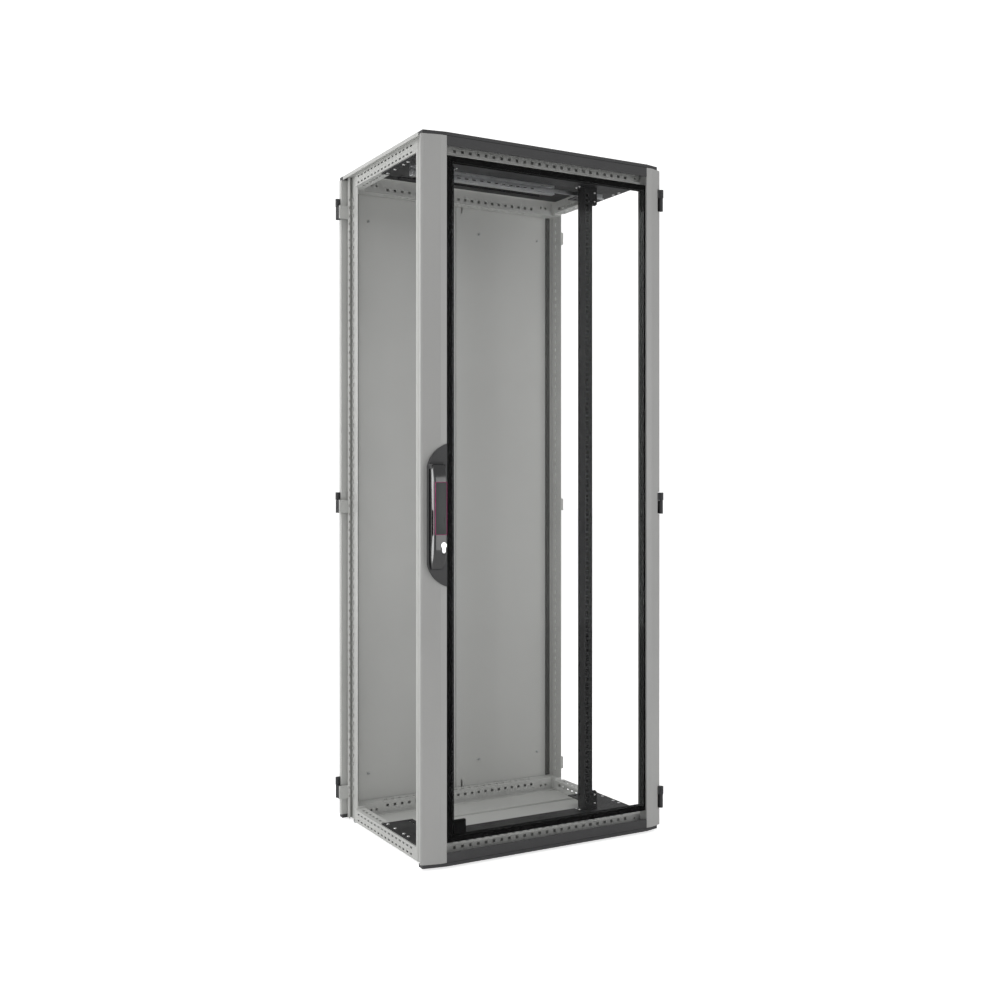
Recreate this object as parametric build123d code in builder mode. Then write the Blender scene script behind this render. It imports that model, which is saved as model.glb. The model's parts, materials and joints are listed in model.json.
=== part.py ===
"""Floor-standing 19-inch equipment enclosure: open sides, glazed front door, divided sheet-steel rear."""
import os
from build123d import *

os.makedirs("parts", exist_ok=True)

# Overall envelope, mm. Origin at floor level in the middle of the footprint, front door towards -Y.
HALF_WIDTH = 400.0
HEIGHT = 2000.0
FRONT_Y = -300.0
REAR_Y = 300.0
FOOT_H = 7.0
STRIP_H = 9.0
SHEET = 2.0
JOINT_GAP = 1.0
DOOR_Z0 = FOOT_H + STRIP_H + JOINT_GAP
DOOR_Z1 = HEIGHT - STRIP_H - JOINT_GAP

# Frame members.
FRAME_X = 380.0
ROOF_T = 3.0
FRAME_TOP = HEIGHT - ROOF_T
POST_FRONT_Y = -264.0
POST_FRONT_END = -214.0
POST_WALL = 2.5
POST_BOX_D = 12.0
POST_REAR_Y = 223.0
POST_REAR_END = 278.0
POST_WEB_X = 371.1
POST_PLATE_IN = 358.0
POST_PLATE_OUT = 381.5
POST_FLANGE_Y = 262.0
POST_HOLE_Y = 254.8
POST_RETURN = 9.0
GROOVE_Y0 = -241.0
GROOVE_Y1 = -225.0
GROOVE_DEPTH = 1.2
NOTCH_IN = 2.0
POST_LIP_W = 28.0
SIDE_RAIL_W = 35.0
TOP_SIDE_Z = 1958.0
BOTTOM_SIDE_Z = 45.0
TOP_FRONT_Z = 1953.0
BOTTOM_FRONT_Z = 51.0
FRONT_RAIL_END_Y = -226.0
SIDE_RAIL_END_Y = 222.0
REAR_RAIL_Y = 240.0
REAR_BLOCK_X = 330.0
TOP_REAR_Z = 1952.0
BOTTOM_REAR_Z = 52.0
CORNER_L = 40.0
PITCH = 25.0
RUN_INSET = 10.0
RUN_FIRST = 15.0
HINGE_PIN_ROOM = 3.0
SLOT_H = 12.5
SLOT_W = 8.0
SMALL_SLOT = 5.0
HOLE_SQ = 9.0

# Front door.
BEVEL = 13.0
DOOR_BACK_Y = -266.0
STILE_L_IN = -329.0
STILE_R_IN = 340.5
STILE_FLAT = 18.0
STILE_EDGE = 9.0
STILE_RECESS = 6.0
HINGE_NOTCH_X = 388.0
HINGE_NOTCH_END = 410.0
TRIM_H = 26.0
GLASS_T = 4.0
GLASS_Y = -297.0
SEAL_TOP_GAP = 25.0
SEAL_H = 16.0
SEAL_L_IN = -309.0
SEAL_T = 5.0

# Hinges: knuckles stand beside the door edges.
HINGE_FRONT_X = 401.0
HINGE_FRONT_Y = -290.0
HINGE_REAR_X = 407.0
HINGE_REAR_Y = 297.0
HINGE_Z = (68.0, 955.0, 1868.0)
HINGE_LOW_H = 40.0
HINGE_TOP_H = 24.0
HINGE_R = 7.5
HINGE_LOW_R = 6.0
HINGE_PIN_R = 3.0
HINGE_GAP = 0.5
HINGE_TAB_T = 5.0
LUG_Y0 = 272.0
LUG_Y1 = 277.0
RUNNING = 0.05

# Handle on the left stile.
ESC_L = -385.0
ESC_R = -329.5
ESC_Z0 = 766.0
ESC_Z1 = 1154.0
ESC_Y = FRONT_Y - 3.0
POCKET_Y = FRONT_Y - 1.5
LEVER_L = -382.0
LEVER_R = -343.0
LEVER_Y = FRONT_Y - 2.0
LEVER_Z0 = 815.0
LEVER_Z1 = 1102.0
LEVER_LIFT = 30.0
LEVER_PIVOT_Z = 1092.0
PIVOT_LIFT = 11.0
PIVOT_R = 3.0
POCKET_GAP = 1.2
INSERT_Z0 = 908.0
INSERT_Z1 = 1050.0
INSERT_T = 1.5
KEY_X = -354.0
KEY_Z = 880.0
KEY_R = 6.0
CYL_R = 8.5
CYL_TAIL = 16.0
CYL_TAIL_W = 10.0
CYL_DEPTH = 20.0

# Rack.
RACK_HOLE_X = 232.55
UNIT = 44.45
UNITS = 42
RACK_Y = -141.0
PLATE_T = 3.0
STRUT_Y0 = -212.0
STRUT_Y1 = -108.0
SIDE_PLATE_Y1 = 33.0
SIDE_PLATE_W = 100.0

# Rear leaves.
LEAF_T = 17.0
LEAF_SHEET = 1.2
LEAF_GAP = 2.0
LEAF_Y = REAR_Y - LEAF_T


def keep(builder, label):
    """Name a finished piece and write it out."""
    builder.part.label = label
    export_step(builder.part, f"parts/{label}.step")


def positions(start, end, pitch):
    """Evenly spaced centres at the frame's hole pitch, centred between start and end."""
    count = int((end - start) / pitch)
    first = (start + end - (count - 1) * pitch) / 2
    return [first + pitch * i for i in range(count)]


def mirrored(points, side):
    """Plan points given for the right-hand side, flipped for the left."""
    return [(side * x, y) for x, y in points]


def box(x0, x1, y0, y1, z0, z1, mode=Mode.ADD):
    """Axis-aligned block by its limits, inside the current part."""
    with Locations(((x0 + x1) / 2, (y0 + y1) / 2, (z0 + z1) / 2)):
        Box(abs(x1 - x0), abs(y1 - y0), abs(z1 - z0), mode=mode)


def slots_x(x_mid, run, y_mid, z_mid, along, size_y, size_z, reach):
    """A row of slots cut in the X direction; centres run along Y or Z."""
    places = [(x_mid, p, z_mid) if along == "y" else (x_mid, y_mid, p) for p in run]
    with Locations(*places):
        Box(reach, size_y, size_z, mode=Mode.SUBTRACT)


def slots_y(x_mid, run, y_mid, z_mid, along, size_x, size_z, reach):
    """A row of slots cut in the Y direction; centres run along X or Z."""
    places = [(p, y_mid, z_mid) if along == "x" else (x_mid, y_mid, p) for p in run]
    with Locations(*places):
        Box(size_x, reach, size_z, mode=Mode.SUBTRACT)


def slots_z(x_mid, run, y_mid, z_mid, along, size_x, size_y, reach):
    """A row of slots cut in the Z direction; centres run along X or Y."""
    places = [(p, y_mid, z_mid) if along == "x" else (x_mid, p, z_mid) for p in run]
    with Locations(*places):
        Box(size_x, size_y, reach, mode=Mode.SUBTRACT)


def sheet_profile(points, wall):
    """Closed hollow sheet-metal section from its outline, inside the current sketch."""
    Polygon(*points, align=None)
    offset(amount=-wall, kind=Kind.INTERSECTION, mode=Mode.SUBTRACT)


def front_post(side, label):
    """Slim roll-formed post: a box lip behind the door and a grooved side web with a rear return."""
    x_out = FRAME_X
    x_in = FRAME_X - POST_LIP_W
    lip_end = POST_FRONT_Y + POST_BOX_D
    web = POST_WALL
    ret = POST_RETURN
    outline = [
        (x_in, POST_FRONT_Y),
        (x_out, POST_FRONT_Y),
        (x_out, POST_FRONT_END),
        (x_out - ret, POST_FRONT_END),
        (x_out - ret, POST_FRONT_END - web),
        (x_out - web, POST_FRONT_END - web),
        (x_out - web, lip_end),
        (x_in, lip_end),
    ]
    hollow = [
        (x_in + SHEET, POST_FRONT_Y + SHEET),
        (x_out - web, POST_FRONT_Y + SHEET),
        (x_out - web, lip_end - SHEET),
        (x_in + SHEET, lip_end - SHEET),
    ]
    with BuildPart() as post:
        with BuildSketch(Plane.XY.offset(FOOT_H)):
            with BuildLine():
                Polyline(*mirrored(outline, side), close=True)
            make_face()
            with BuildLine():
                Polyline(*mirrored(hollow, side), close=True)
            make_face(mode=Mode.SUBTRACT)
        extrude(amount=FRAME_TOP - FOOT_H)
        with Locations((side * x_out, (GROOVE_Y0 + GROOVE_Y1) / 2, (FOOT_H + FRAME_TOP) / 2)):
            Box(2 * GROOVE_DEPTH, GROOVE_Y1 - GROOVE_Y0, FRAME_TOP - FOOT_H, mode=Mode.SUBTRACT)
    keep(post, label)


def rear_post(side, label):
    """Rear post: a rear plate, a forward web with slots, a short notched outer flange and hinge lugs."""
    web_in = POST_WEB_X - POST_WALL
    plate_y = POST_REAR_END - POST_WALL
    flange_in = POST_PLATE_OUT - POST_WALL
    outline = [
        (POST_PLATE_IN, plate_y),
        (web_in, plate_y),
        (web_in, POST_REAR_Y),
        (POST_WEB_X, POST_REAR_Y),
        (POST_WEB_X, plate_y),
        (flange_in, plate_y),
        (flange_in, POST_FLANGE_Y),
        (POST_PLATE_OUT, POST_FLANGE_Y),
        (POST_PLATE_OUT, POST_REAR_END),
        (POST_PLATE_IN, POST_REAR_END),
    ]
    run = positions(BOTTOM_REAR_Z + 5, TOP_REAR_Z - 5, PITCH)
    with BuildPart() as post:
        with BuildSketch(Plane.XY.offset(FOOT_H)):
            Polygon(*mirrored(outline, side), align=None)
        extrude(amount=FRAME_TOP - FOOT_H)
        slots_x(side * (POST_WEB_X - POST_WALL / 2), run, POST_HOLE_Y, 0, "z", SLOT_W, SLOT_H, 2 * POST_WALL)
        notch_x = side * (POST_PLATE_OUT - POST_WALL / 2)
        slots_x(notch_x, run, POST_FLANGE_Y + NOTCH_IN, 0, "z", SLOT_W, SLOT_W, 2 * POST_WALL)
        for z0 in HINGE_Z:
            lug_x = side * (HINGE_REAR_X + HINGE_PIN_ROOM)
            box(side * (POST_PLATE_OUT - 1), lug_x, LUG_Y0, LUG_Y1, z0, z0 + HINGE_LOW_H)
    keep(post, label)


def side_rail(side, z0, z1, outer_rows, inner_row, flat_z, label):
    """Depth member between the posts, hollow, with hole rows outside, inside and on the flange."""
    x_out = FRAME_X
    x_in = FRAME_X - SIDE_RAIL_W
    outline = [(x_in, z0), (x_out, z0), (x_out, z1), (x_in, z1)]
    run = positions(POST_FRONT_END + RUN_FIRST, SIDE_RAIL_END_Y - RUN_INSET, PITCH)
    with BuildPart() as rail:
        with BuildSketch(Plane.XZ.offset(-SIDE_RAIL_END_Y)):
            sheet_profile(mirrored(outline, side), SHEET)
        extrude(amount=SIDE_RAIL_END_Y - POST_FRONT_END)
        for row in outer_rows:
            slots_x(side * (x_out - SHEET / 2), run, 0, row, "y", SLOT_H, SMALL_SLOT, 2 * SHEET)
        slots_x(side * (x_in + SHEET / 2), run, 0, inner_row, "y", SLOT_H, SLOT_W, 2 * SHEET)
        slots_z(side * (x_in + SIDE_RAIL_W / 2), run, 0, flat_z, "y", SLOT_W, SLOT_H, 2 * SHEET)
    keep(rail, label)


def width_rail(half, y0, y1, z0, z1, face_y, row_z, flat_z, label):
    """Width member between two corner pieces, hollow, with a hole row in its face and its flange."""
    outline = [(y0, z0), (y1, z0), (y1, z1), (y0, z1)]
    run = positions(-half + RUN_INSET, half - RUN_INSET, PITCH)
    with BuildPart() as rail:
        with BuildSketch(Plane.YZ.offset(-half)):
            sheet_profile(outline, SHEET)
        extrude(amount=2 * half)
        slots_y(0, run, face_y, row_z, "x", HOLE_SQ, SLOT_W, 2 * SHEET)
        slots_z(0, run, (y0 + y1) / 2, flat_z, "x", SLOT_H, SLOT_W, 2 * SHEET)
    keep(rail, label)


# ---------------------------------------------------------------- frame posts and rails
front_post(-1, "post_front_left")
front_post(1, "post_front_right")
rear_post(-1, "post_rear_left")
rear_post(1, "post_rear_right")

TOP_ROWS = (1966.0, 1985.0)
TOP_INNER_ROW = 1968.0
BOTTOM_ROWS = (17.0, 35.0)
BOTTOM_INNER_ROW = 34.0
TOP_FLAT_Z = TOP_SIDE_Z + SHEET / 2
BOTTOM_FLAT_Z = BOTTOM_SIDE_Z - SHEET / 2
for side, name in ((-1, "left"), (1, "right")):
    side_rail(side, TOP_SIDE_Z, FRAME_TOP, TOP_ROWS, TOP_INNER_ROW, TOP_FLAT_Z, f"rail_top_{name}")
    side_rail(side, FOOT_H, BOTTOM_SIDE_Z, BOTTOM_ROWS, BOTTOM_INNER_ROW, BOTTOM_FLAT_Z, f"rail_bottom_{name}")

FRONT_HALF = FRAME_X - POST_LIP_W - CORNER_L
REAR_HALF = REAR_BLOCK_X - CORNER_L
FRONT_FACE_Y = POST_FRONT_Y + SHEET / 2
REAR_FACE_Y = REAR_RAIL_Y + SHEET / 2
width_rail(FRONT_HALF, POST_FRONT_Y, FRONT_RAIL_END_Y, TOP_FRONT_Z, FRAME_TOP,
           FRONT_FACE_Y, TOP_FRONT_Z + 8, TOP_FRONT_Z + SHEET / 2, "rail_top_front")
width_rail(FRONT_HALF, POST_FRONT_Y, FRONT_RAIL_END_Y, FOOT_H, BOTTOM_FRONT_Z,
           FRONT_FACE_Y, BOTTOM_FRONT_Z - 8, BOTTOM_FRONT_Z - SHEET / 2, "rail_bottom_front")
width_rail(REAR_HALF, REAR_RAIL_Y, POST_REAR_END, TOP_REAR_Z, FRAME_TOP,
           REAR_FACE_Y, TOP_REAR_Z + 14, TOP_REAR_Z + SHEET / 2, "rail_top_rear")
width_rail(REAR_HALF, REAR_RAIL_Y, POST_REAR_END, FOOT_H, BOTTOM_REAR_Z,
           REAR_FACE_Y, BOTTOM_REAR_Z - 14, BOTTOM_REAR_Z - SHEET / 2, "rail_bottom_rear")

# ---------------------------------------------------------------- corner pieces
FOOT_X = 362.0
FOOT_Y = 240.0
FOOT_R = 14.0
CORNER_ROW_LOW = 12.0
CORNER_ROW_HIGH = 10.0
CORNER_FLAT_IN = 20.0
FOOT_HOLE_R = 5.5
CORNER_HOLE_R = 4.0
CORNER_HOLE_D = 20.0
CORNER_HOLES = (30.0, 12.0)
REAR_BLOCK_IN = FRAME_X - SIDE_RAIL_W
with BuildPart() as frame_corners:
    for side in (-1, 1):
        for z0, z1 in ((FOOT_H, BOTTOM_FRONT_Z), (TOP_FRONT_Z, FRAME_TOP)):
            x_mid = FRAME_X - POST_LIP_W
            web_x = FRAME_X - POST_WALL
            box(side * (x_mid - CORNER_L), side * x_mid, POST_FRONT_Y, FRONT_RAIL_END_Y, z0, z1)
            box(side * x_mid, side * web_x, POST_FRONT_Y + POST_BOX_D, POST_FRONT_END - POST_WALL, z0, z1)
            at_floor = z0 == FOOT_H
            z_row = z1 - CORNER_ROW_LOW if at_floor else z0 + CORNER_ROW_HIGH
            for inset in CORNER_HOLES:
                hole_x = side * (x_mid - inset)
                with Locations((hole_x, POST_FRONT_Y, z_row)):
                    Cylinder(CORNER_HOLE_R, CORNER_HOLE_D, rotation=(90, 0, 0), mode=Mode.SUBTRACT)
                with Locations((hole_x, POST_FRONT_Y + CORNER_FLAT_IN, z1 if at_floor else z0)):
                    Cylinder(CORNER_HOLE_R, CORNER_HOLE_D, mode=Mode.SUBTRACT)
        for z0, z1 in ((FOOT_H, BOTTOM_REAR_Z), (TOP_REAR_Z, FRAME_TOP)):
            web_x = POST_WEB_X - POST_WALL
            box(side * REAR_HALF, side * POST_PLATE_IN, REAR_RAIL_Y, POST_REAR_END, z0, z1)
            box(side * (POST_PLATE_IN - 1), side * web_x, REAR_RAIL_Y, POST_REAR_END - POST_WALL, z0, z1)
            box(side * REAR_BLOCK_IN, side * web_x, SIDE_RAIL_END_Y, REAR_RAIL_Y + 1, z0, z1)
            for inset in CORNER_HOLES:
                with Locations((side * (REAR_BLOCK_X - inset), REAR_RAIL_Y, (z0 + z1) / 2)):
                    Cylinder(CORNER_HOLE_R, CORNER_HOLE_D, rotation=(90, 0, 0), mode=Mode.SUBTRACT)
        for foot_y in (-FOOT_Y, FOOT_Y):
            with Locations((side * FOOT_X, foot_y, BOTTOM_FRONT_Z / 2)):
                Cylinder(FOOT_HOLE_R + 0.5, BOTTOM_FRONT_Z, mode=Mode.SUBTRACT)
keep(frame_corners, "frame_corners")

with BuildPart() as feet:
    for foot_x in (-FOOT_X, FOOT_X):
        for foot_y in (-FOOT_Y, FOOT_Y):
            with Locations((foot_x, foot_y, FOOT_H / 2)):
                Cylinder(FOOT_R, FOOT_H)
                Cylinder(FOOT_HOLE_R, 2 * FOOT_H, mode=Mode.SUBTRACT)
keep(feet, "feet")

# ---------------------------------------------------------------- roof
ROOF_X = 397.0
ROOF_Y0 = -262.0
ROOF_Y1 = 279.0
ROOF_RIM = 7.0
BRUSH_X = 250.0
BRUSH_Y0 = 70.0
BRUSH_Y1 = 190.0
BOLT_X = 362.0
BOLT_Y = 236.0
BOLT_R = 6.0
BOLT_H = 7.0
BOLT_CAP_R = 4.0
BOLT_CAP_H = 1.6
ROOF_OPEN_X = 340.0
ROOF_OPEN_Y0 = -222.0
ROOF_OPEN_Y1 = 216.0
with BuildPart() as roof_plate:
    box(-ROOF_X, ROOF_X, ROOF_Y0, ROOF_Y1, FRAME_TOP, HEIGHT)
    for side in (-1, 1):
        box(side * (ROOF_X - SHEET), side * ROOF_X, ROOF_Y0, ROOF_Y1, FRAME_TOP - ROOF_RIM, FRAME_TOP)
    box(-ROOF_OPEN_X, ROOF_OPEN_X, ROOF_OPEN_Y0, ROOF_OPEN_Y1, FRAME_TOP - 1, HEIGHT + 1, mode=Mode.SUBTRACT)
keep(roof_plate, "roof_plate")

# The roof's insert lies below the opening and carries the brush strips of the cable entry.
INSERT_FIT = 0.5
BRUSH_RAIL = 22.0
BRISTLE_T = 3.0
RIB_DROP = 6.0
BRUSH_IN_Y0 = BRUSH_Y0 + BRUSH_RAIL
BRUSH_IN_Y1 = BRUSH_Y1 - BRUSH_RAIL
with BuildPart() as roof_insert:
    box(-ROOF_OPEN_X - 4, ROOF_OPEN_X + 4, ROOF_OPEN_Y0 - 3, ROOF_OPEN_Y1 + 4, FRAME_TOP - SHEET, FRAME_TOP)
    box(-ROOF_OPEN_X + INSERT_FIT, ROOF_OPEN_X - INSERT_FIT, ROOF_OPEN_Y0 + INSERT_FIT,
        ROOF_OPEN_Y1 - INSERT_FIT, FRAME_TOP - SHEET, HEIGHT - 1)
    box(-BRUSH_X, BRUSH_X, BRUSH_Y0, BRUSH_IN_Y0, FRAME_TOP - RIB_DROP, FRAME_TOP)
    box(-BRUSH_X, BRUSH_X, BRUSH_IN_Y1, BRUSH_Y1, FRAME_TOP - RIB_DROP, FRAME_TOP)
    box(-BRUSH_X, BRUSH_X, BRUSH_IN_Y0, BRUSH_IN_Y1, FRAME_TOP - RIB_DROP - 1, HEIGHT, mode=Mode.SUBTRACT)
keep(roof_insert, "roof_insert")

BRISTLE_Z = FRAME_TOP - 4
with BuildPart() as brush_bristles:
    mid = (BRUSH_Y0 + BRUSH_Y1) / 2
    box(-BRUSH_X, BRUSH_X, BRUSH_IN_Y0, mid - 1, BRISTLE_Z, BRISTLE_Z + BRISTLE_T)
    box(-BRUSH_X, BRUSH_X, mid + 1, BRUSH_IN_Y1, BRISTLE_Z, BRISTLE_Z + BRISTLE_T)
keep(brush_bristles, "brush_bristles")


# Plan of the narrow front strips: it follows the bevelled front of the door.
STRIP_X = HALF_WIDTH - 4
STRIP_PLAN = (
    (-STRIP_X, FRONT_Y + BEVEL - 1),
    (-HALF_WIDTH + 70, FRONT_Y),
    (HALF_WIDTH - 58, FRONT_Y),
    (STRIP_X - 10, FRONT_Y + BEVEL - 3),
    (STRIP_X - 10, POST_FRONT_Y),
    (-STRIP_X, POST_FRONT_Y),
)

with BuildPart() as cover_strips:
    for z0 in (FOOT_H, HEIGHT - STRIP_H):
        with BuildSketch(Plane.XY.offset(z0)):
            Polygon(*STRIP_PLAN, align=None)
        extrude(amount=STRIP_H)
        box(-HALF_WIDTH + 2, HALF_WIDTH - 2, ROOF_Y1, REAR_Y, z0, z0 + STRIP_H)
keep(cover_strips, "cover_strips")

with BuildPart() as roof_bolts:
    for bolt_x in (-BOLT_X, BOLT_X):
        for bolt_y in (-BOLT_Y, BOLT_Y):
            with BuildSketch(Plane.XY.offset(HEIGHT)) :
                with Locations((bolt_x, bolt_y)):
                    RegularPolygon(BOLT_R, 6)
            extrude(amount=BOLT_H)
            with Locations((bolt_x, bolt_y, HEIGHT + BOLT_H + BOLT_CAP_H / 2)):
                Cylinder(BOLT_CAP_R, BOLT_CAP_H)
keep(roof_bolts, "roof_bolts")

# ---------------------------------------------------------------- floor
FLOOR_Z = 12.0
FLOOR_T = 2.0
FLOOR_X = FRAME_X - SIDE_RAIL_W
LIP_H = 5.0
FLOOR_CUTS = (FRONT_RAIL_END_Y, -60.0, 95.0, SIDE_RAIL_END_Y)
with BuildPart() as floor_plates:
    for index in range(3):
        y0 = FLOOR_CUTS[index] + JOINT_GAP
        y1 = FLOOR_CUTS[index + 1] - JOINT_GAP
        box(-FLOOR_X, FLOOR_X, y0, y1, FLOOR_Z, FLOOR_Z + FLOOR_T)
        box(-FLOOR_X, FLOOR_X, y1 - SHEET, y1, FLOOR_Z + FLOOR_T, FLOOR_Z + FLOOR_T + LIP_H)
keep(floor_plates, "floor_plates")

# ---------------------------------------------------------------- 19-inch mounting
RACK_Z0 = BOTTOM_SIDE_Z + PLATE_T
RACK_Z1 = TOP_SIDE_Z - PLATE_T
RACK_LEN = RACK_Z1 - RACK_Z0
RACK_FIRST = (RACK_Z0 + RACK_Z1) / 2 - UNITS * UNIT / 2
RACK_IN = 225.0
RACK_OUT = 252.0
RACK_FLANGE = 39.0
RACK_RETURN = 12.0
RACK_SHEET = 2.5
RACK_SIDE_HOLE_IN = 6.5
RACK_SIDE_HOLE_W = 6.0
RACK_SIDE_HOLE_H = 8.0
RACK_EDGE_HOLE_IN = 5.0
RACK_EDGE_HOLE_W = 4.0
SQ_HOLE = 9.5
HOLE_STEP = 15.875


def rack_angle(side, label):
    """Upright 19-inch angle: three square holes per height unit, two side flanges and a rear return."""
    back = RACK_Y + RACK_FLANGE
    outline = [
        (RACK_IN, RACK_Y),
        (RACK_OUT, RACK_Y),
        (RACK_OUT, back),
        (RACK_OUT - RACK_SHEET, back),
        (RACK_OUT - RACK_SHEET, RACK_Y + RACK_SHEET),
        (RACK_IN + RACK_SHEET, RACK_Y + RACK_SHEET),
        (RACK_IN + RACK_SHEET, back - RACK_SHEET),
        (RACK_IN + RACK_RETURN, back - RACK_SHEET),
        (RACK_IN + RACK_RETURN, back),
        (RACK_IN, back),
    ]
    unit_mid = [RACK_FIRST + UNIT * (u + 0.5) for u in range(UNITS)]
    run = [mid + HOLE_STEP * k for mid in unit_mid for k in (-1, 0, 1)]
    with BuildPart() as angle:
        with BuildSketch(Plane.XY.offset(RACK_Z0)):
            Polygon(*mirrored(outline, side), align=None)
        extrude(amount=RACK_LEN)
        slots_y(side * RACK_HOLE_X, run, RACK_Y + RACK_SHEET / 2, 0, "z", SQ_HOLE, SQ_HOLE, RACK_SHEET + 1)
        side_y = back - RACK_SIDE_HOLE_IN
        side_x = side * (RACK_IN + RACK_SHEET / 2)
        slots_x(side_x, unit_mid, side_y, 0, "z", RACK_SIDE_HOLE_W, RACK_SIDE_HOLE_H, 2 * RACK_SHEET)
        edge_x = side * (RACK_OUT - RACK_EDGE_HOLE_IN)
        edge_y = RACK_Y + RACK_SHEET / 2
        slots_y(edge_x, unit_mid, edge_y, 0, "z", RACK_EDGE_HOLE_W, RACK_SIDE_HOLE_W, 2 * RACK_SHEET)
    keep(angle, label)


rack_angle(-1, "rack_angle_left")
rack_angle(1, "rack_angle_right")


STRUT_INSET = 5.0
STRUT_FOLD = 18.0
STRUT_RUN_INSET = 30.0
STRUT_ROW_IN = 22.0
SIDE_PLATE_ROW_IN = 16.0
SCREW_X = 362.0


def strut(z0, fold_z, label):
    """Transverse folded plate that carries the mounting angles."""
    half = FRAME_X - STRUT_INSET
    with BuildPart() as plate:
        box(-half, half, STRUT_Y0, STRUT_Y1, z0, z0 + PLATE_T)
        low, high = (fold_z, z0) if fold_z < z0 else (z0 + PLATE_T, fold_z)
        inner = FLOOR_X - 2
        box(-inner, inner, STRUT_Y0, STRUT_Y0 + PLATE_T, low, high)
        run = positions(-inner + STRUT_RUN_INSET, inner - STRUT_RUN_INSET, 3 * PITCH)
        slots_z(0, run, STRUT_Y0 + STRUT_ROW_IN, z0 + PLATE_T / 2, "x", SLOT_H, SLOT_W, 2 * PLATE_T)
    keep(plate, label)


strut(TOP_SIDE_Z - PLATE_T, TOP_SIDE_Z + STRUT_FOLD, "strut_top")
strut(BOTTOM_SIDE_Z, BOTTOM_SIDE_Z - STRUT_FOLD, "strut_bottom")

with BuildPart() as side_plates:
    for side in (-1, 1):
        for z0 in (TOP_SIDE_Z - PLATE_T, BOTTOM_SIDE_Z):
            x_out = FRAME_X - STRUT_INSET
            x_in = x_out - SIDE_PLATE_W
            box(side * x_in, side * x_out, STRUT_Y1 + JOINT_GAP, SIDE_PLATE_Y1, z0, z0 + PLATE_T)
            run = positions(STRUT_Y1 + 10, SIDE_PLATE_Y1 - 5, PITCH)
            slots_z(side * (x_in + SIDE_PLATE_ROW_IN), run, 0, z0 + PLATE_T / 2, "y", SLOT_W, SLOT_H, 2 * PLATE_T)
keep(side_plates, "side_plates")

BRACKET_H = 56.0
BRACKET_W = 17.0
BRACKET_T = 3.0
BRACKET_D = 22.0
BRACKET_CUT = 6.0
with BuildPart() as rack_brackets:
    for side in (-1, 1):
        for z_face, up in ((RACK_Z0, 1), (RACK_Z1, -1)):
            x_face = side * RACK_OUT
            ear = [
                (x_face, z_face),
                (x_face + side * BRACKET_W, z_face),
                (x_face + side * BRACKET_W, z_face + up * (BRACKET_H - BRACKET_CUT)),
                (x_face + side * (BRACKET_W - BRACKET_CUT), z_face + up * BRACKET_H),
                (x_face, z_face + up * BRACKET_H),
            ]
            with BuildSketch(Plane.XZ.offset(-(RACK_Y + BRACKET_T))):
                Polygon(*ear, align=None)
            extrude(amount=BRACKET_T)
            box(x_face, x_face + side * BRACKET_T, RACK_Y + BRACKET_T - 1, RACK_Y + BRACKET_D,
                z_face, z_face + up * BRACKET_H)
keep(rack_brackets, "rack_brackets")

SCREW_R = 5.0
SCREW_H = 3.0
STRUT_SCREW_Y = (-195.0, -125.0, -95.0, -35.0, 15.0)
ANGLE_SCREW_X = 213.0
ANGLE_SCREW_Y = (-131.0, -114.0)
EAR_SCREW_R = 3.5
EAR_SCREW_UP = (16.0, 42.0)
with BuildPart() as rack_screws:
    for side in (-1, 1):
        for z_face, up in ((RACK_Z0, 1), (RACK_Z1, -1)):
            z0 = z_face + up * SCREW_H / 2
            places = [(side * SCREW_X, screw_y, z0) for screw_y in STRUT_SCREW_Y]
            places += [(side * ANGLE_SCREW_X, screw_y, z0) for screw_y in ANGLE_SCREW_Y]
            with Locations(*places):
                Cylinder(SCREW_R, SCREW_H)
            ear_x = side * (RACK_OUT + BRACKET_W / 2)
            with Locations(*[(ear_x, RACK_Y - SCREW_H / 2, z_face + up * z) for z in EAR_SCREW_UP]):
                Cylinder(EAR_SCREW_R, SCREW_H, rotation=(90, 0, 0))
keep(rack_screws, "rack_screws")

# ---------------------------------------------------------------- cross rail under the roof
CROSS_Y = -85.5
CROSS_D = 16.0
CROSS_LIP = 8.0
CROSS_Z0 = 1927.0
CROSS_Z1 = RACK_Z1
CROSS_X0 = -338.0
CROSS_X1 = 140.0
CLIP_L = 46.0
CROSS_RUN_FIRST = 20.0
CROSS_HOLE_H = 6.0
CLIP_Y = (1.0, 5.0)
CLIP_RISE = 3.0
BAR_Y = (4.0, 7.0)
BAR_DROP = (16.0, 4.0)
BAR_FOOT_L = 30.0
BAR_FOOT_Y = 3.5
BAR_FOOT_H = 12.0
BAR_END = 330.0
CROSS_SECTION = (
    (CROSS_Y + SHEET, CROSS_Z0),
    (CROSS_Y + SHEET, CROSS_Z1),
    (CROSS_Y - CROSS_D, CROSS_Z1),
    (CROSS_Y - CROSS_D, CROSS_Z1 - CROSS_LIP),
    (CROSS_Y - CROSS_D + SHEET, CROSS_Z1 - CROSS_LIP),
    (CROSS_Y - CROSS_D + SHEET, CROSS_Z1 - SHEET),
    (CROSS_Y, CROSS_Z1 - SHEET),
    (CROSS_Y, CROSS_Z0 + SHEET),
    (CROSS_Y - CROSS_D + SHEET, CROSS_Z0 + SHEET),
    (CROSS_Y - CROSS_D + SHEET, CROSS_Z0 + CROSS_LIP),
    (CROSS_Y - CROSS_D, CROSS_Z0 + CROSS_LIP),
    (CROSS_Y - CROSS_D, CROSS_Z0),
)
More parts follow.
